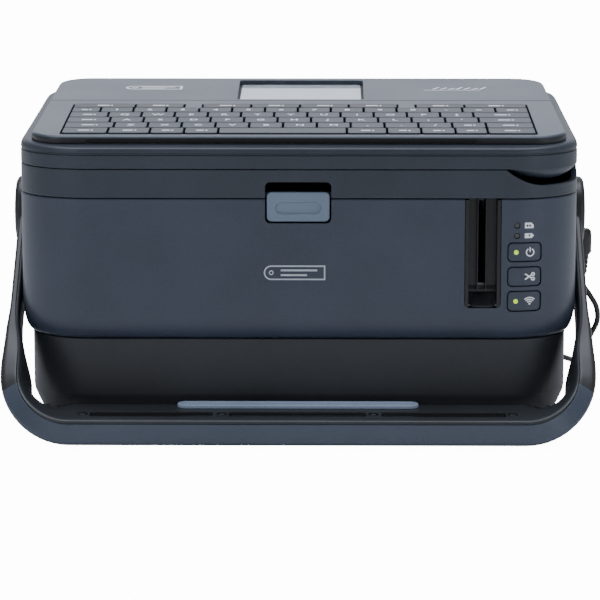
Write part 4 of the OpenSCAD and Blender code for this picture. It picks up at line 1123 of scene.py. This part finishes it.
# section at each station: super-ellipse that grows and rolls from the flat arm to the broad crossbar
def handleRings(stations, side, keep, points=44):
    x, s, a = stations.T[:, :, None]
    turned = 0.2 * smoothStep((s - 90) / (lastS - 90)) + 0.8 * smoothStep(a / (math.pi / 2))
    halfT = (h["armT"] + (h["lowT"] - h["armT"]) * smoothStep((s - 70) / (lastS - 70))
             + (h["barT"] - h["lowT"]) * smoothStep(a / (math.pi / 2))) / 2
    halfW = (h["armW"] + (h["barW"] - h["armW"]) * turned) / 2
    # exponents: 1 is an ellipse, smaller is squarer; the bar's top edges are crisper than its underside
    topPower = h["armPower"] + (h["topPower"] - h["armPower"]) * turned
    lowPower = h["armPower"] + (h["lowPower"] - h["armPower"]) * turned
    split = np.arcsin((1 - h["liner"] / halfT) ** (1 / topPower))
    first = split if keep > 0 else np.pi - split
    span = np.pi - 2 * split if keep > 0 else np.pi + 2 * split
    angle = first + span * np.linspace(0, 1, points)[None, :]
    power = np.where(np.sin(angle) > 0, topPower, lowPower)
    wideBy, thinBy = [half * np.sign(c) * np.abs(c) ** power
                      for half, c in ((halfW, np.cos(angle)), (halfT, np.sin(angle)))]
    if keep < 0:
        # shoulder below the parting line, which leaves a fine groove all round
        parting = thinBy[:, :1]
        thinBy = np.minimum(thinBy, parting - 0.45)
        wideBy = np.concatenate([wideBy, wideBy[:, -1:] - 0.7, wideBy[:, -1:] - 0.7, wideBy[:, :1] + 0.7,
                                 wideBy[:, :1] + 0.7], 1)
        thinBy = np.concatenate([thinBy, parting - 0.45, parting, parting, parting - 0.45], 1)
    roll = ((math.pi / 2 - armAngle) * turned)[..., None]
    along = np.array([0, -math.cos(armAngle), -math.sin(armAngle)])
    face = np.array([0, -math.sin(armAngle), math.cos(armAngle)])
    inward = np.stack([-side * np.cos(a), 0 * a, 0 * a], -1) - np.sin(a)[..., None] * along
    wide = np.cos(roll) * face - np.sin(roll) * inward
    thin = np.cos(roll) * inward + np.sin(roll) * face
    centre = np.stack([side * x, pivotY + 0 * x, pivotZ + 0 * x], -1) + s[..., None] * along
    return centre + wideBy[..., None] * wide + thinBy[..., None] * thin


stations = handleStations(12.0)
first = int(np.argmax(stations[:, 2] >= math.radians(h["coverFrom"])))
armPart, barPart = stations[:first + 1], stations[first:]


def wholeBar(part, keep):
    return np.concatenate([handleRings(part, -1, keep), handleRings(part[::-1], 1, keep)])


for name, side in (("handle_arm_left", -1), ("handle_arm_right", 1)):
    outwardPiece(name, loft(handleRings(armPart, side, -1)), "handle", "handle_abs", blackAbs,
                 ["handle_shell"], 40)
outwardPiece("handle_crossbar", loft(wholeBar(barPart, -1)), "handle", "handle_abs", handleAbs,
             ["handle_shell"], 40)

linerPiece = outward(makeObject("handle_liner_body", loft(wholeBar(stations, 1))))
barTop = h["barZ"] + h["barT"] / 2
slots = ((-101.5, -41.5), (-33.5, 33.5), (41, 101.5))
pockets = [blockShape((x0, -105.5, barTop - 1.6), (x1, -94.5, barTop + 3), 2.0, 6) for x0, x1 in slots]
finishPiece(carve(linerPiece, pockets), "handle", "black_abs", linerAbs, ["handle_liner"], 40)
# thin extra-dark pads on the floors of the slots: painted shade in the slots
pads = [blockShape((x0 + 0.3, -105.2, barTop - 1.7), (x1 - 0.3, -94.8, barTop - 0.9), 1.8, 6)
        for x0, x1 in slots]
newPiece("handle_slot_shade_pads", merged(*pads), "handle", "black_rubber", blackAbsAndRecessShade)

# pan-head screws along the bar, each with a round recess
screwProfile = [(0.1, -0.2), (2.5, -0.2), (2.5, 0.25), (2.2, 0.55), (1.7, 0.65), (1.2, 0.65), (1.1, 0.2),
                (0.1, 0.15)]
screws = [latheShape(screwProfile, (x, -100.0, barTop), around=32) for x in (-105, -37, 37, 105)]
newPiece("handle_pan_screws", merged(*screws), "handle", "steel", steelBlack, ["handle_screws"])

gripRings = []
for inset, z in [(0.4, barTop - 0.1), (0.0, barTop + 0.2), (0.0, barTop + 1.2)] \
        + [(0.8 * (1 - math.cos(a)), barTop + 1.2 + 0.8 * math.sin(a)) for a in np.radians([30, 60, 90])] \
        + [(2.2, barTop + 2.0), (2.6, barTop + 1.6), (3.2, barTop + 1.6)]:
    ring = roundedRing(-59.5 + inset, 59.5 - inset, -88 + inset, -78 - inset, 4.6 - inset, 8, 4)
    gripRings.append(atHeight(ring, z))
outwardPiece("handle_grip_pad", loft(gripRings), "handle", "grip_rubber", gripRubber,
             ["handle_grip_strip"], 40)

hubDepth = h["hub1"] - h["hub0"]
hubProfile = [(5.1, 0), (17.6, 0), (18.0, 0.5), (18.0, hubDepth - 3.2)]
hubProfile += [(15.2 + 2.8 * math.cos(a), hubDepth - 3.2 + 2.6 * math.sin(a))
               for a in np.radians([18, 36, 54, 72, 90])]
hubProfile += [(11.0, hubDepth - 0.4), (10.6, hubDepth - 0.9), (10.2, hubDepth - 0.4), (5.0, hubDepth),
               (0.1, hubDepth), (0.1, 7.4), (5.1, 7.4)]
for name, side in (("handle_hub_left", -1), ("handle_hub_right", 1)):
    shape = latheShape(hubProfile, (side * h["hub0"], pivotY, pivotZ), (side, 0, 0), 96)
    outwardPiece(name, shape, "handle", "handle_abs", blackAbs, ["handle_hubs"])

# bumpers on the bar's corners, where it meets the case
bumperProfile = [(0.1, 0), (3.7, 0), (3.7, 0.5), (3.3, 0.8), (2.9, 0.5), (2.7, 0.2), (2.2, 0.9), (1.2, 1.2),
                 (0.1, 1.3)]
bumpers = [latheShape(bumperProfile, (x, -82.0, barTop - 0.05), around=32) for x in (-121, 121)]
newPiece("handle_bumpers", merged(*bumpers), "handle", "black_rubber", blackRubber)
print("handle made")


# Pieces whose shape comes from the frame

nodeFinish = {
    # the chute takes the extra-dark black: black plastic, darkened further as painted shade inside its slot
    "storage_bin": blackAbs, "mechanism_frame": blackAbs, "tape_exit_chute": blackAbsAndRecessShade,
    "metal_chassis": steelPlate, "print_head": steelPlate, "stepper_motor": steelPlate,
    "cutter_frame": steelPlate,
    "cutter_blade": steelTurned, "platen_shaft": steelTurned, "cover_hinge_pin": steelTurned,
    "deck_hinge_pin": steelTurned, "handle_trunnions": steelTurned, "base_screws": steelTurned,
    "deck_screws": steelTurned,
    "main_board": boardMaterial, "control_board": boardMaterial, "keyboard_board": boardMaterial,
    "power_jack": blackAbs, "usb_socket": nickelPlate, "dome_mat": blackRubber,
    "platen_roller": blackRubber, "indicator_lenses": smokedAbs, "latch_lever": blackAbs,
    "motor_pinion": acetal, "idler_gear": acetal, "platen_gear": acetal, "ribbon_drive": acetal,
    "cassette_case": cassetteAbs, "cassette_lid": cassetteAbs, "tape_roll": tapeFilm,
    "lcd_window": lensAcrylic, "lcd_screen": glowPaintedLcdCell,
}
for nodeName, material in nodeFinish.items():
    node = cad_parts[nodeName]
    if not node.hide_render:
        if not node.material_slots:
            node.data.materials.append(material)
        for place in node.material_slots:
            place.material = material
print("frame pieces finished")


# Floor and light

stageLook = {"pale": "#f8f8f8", "dull": "#f2f3f4", "sky": "#ffffff", "skyPower": 0.4, "lamp": "#eaf1ff",
             "glow": 14.0}
softboxes = [
    # name, place, aim, width, height, watts
    ("overhead", (0, 150, 1500), (0, 20, 100), 1600, 900, 24),
    ("rear", (0, 1900, 800), (0, 0, 150), 2600, 900, 7),
    ("front low left", (-1100, -1500, 900), (0, 0, 80), 700, 900, 5),
    ("front right", (1300, -1300, 500), (0, 0, 80), 500, 900, 3),
]

# matt white paint, lifted towards white where the camera sees it directly, as an overexposed sweep is
floorMaterial, floorTree, floorPlace = newMaterial("matt painted floor")
floorTint = rampOf(floorTree, noiseOf(floorTree, floorPlace, 400.0), linearColour(stageLook["dull"]),
                   linearColour(stageLook["pale"]))
seen = addNode(floorTree, "LightPath")
glow = addNode(floorTree, "Math", {"operation": "MULTIPLY", 1: stageLook["glow"]},
               {0: (seen, "Is Camera Ray")})
shaded(floorMaterial, {"Roughness": 0.6, "Emission Color": linearColour(stageLook["pale"])},
       {"Base Color": (floorTint, "Color"), "Emission Strength": (glow, "Value")})
floorRing = roundedRing(-6000, 6000, -6000, 6000, 1, 1, 1)
floorItem = makeObject("floor", (np.column_stack([floorRing, np.zeros(len(floorRing))]),
                                 [list(range(len(floorRing)))]))
floorItem.data.materials.append(floorMaterial)

world = bpy.data.worlds.new("studio")
world.use_nodes = True
skyTree = world.node_tree
skyTree.nodes["Background"].inputs["Color"].default_value = linearColour(stageLook["sky"])
skyTree.nodes["Background"].inputs["Strength"].default_value = stageLook["skyPower"]
bpy.context.scene.world = world

for name, place, aim, width, height, watts in softboxes:
    lampData = bpy.data.lights.new(name, "AREA")
    lampData.shape = "RECTANGLE"
    lampData.size = width * mm
    lampData.size_y = height * mm
    lampData.energy = watts
    lampData.color = linearColour(stageLook["lamp"])[:3]
    lamp = bpy.data.objects.new(name, lampData)
    lamp.location = np.array(place) * mm
    toward = (np.array(aim) - np.array(place)) * mm
    lamp.rotation_euler = (math.acos(-toward[2] / np.linalg.norm(toward)), 0,
                           math.atan2(toward[1], toward[0]) - math.pi / 2)
    bpy.context.scene.collection.objects.link(lamp)
print("stage lit")
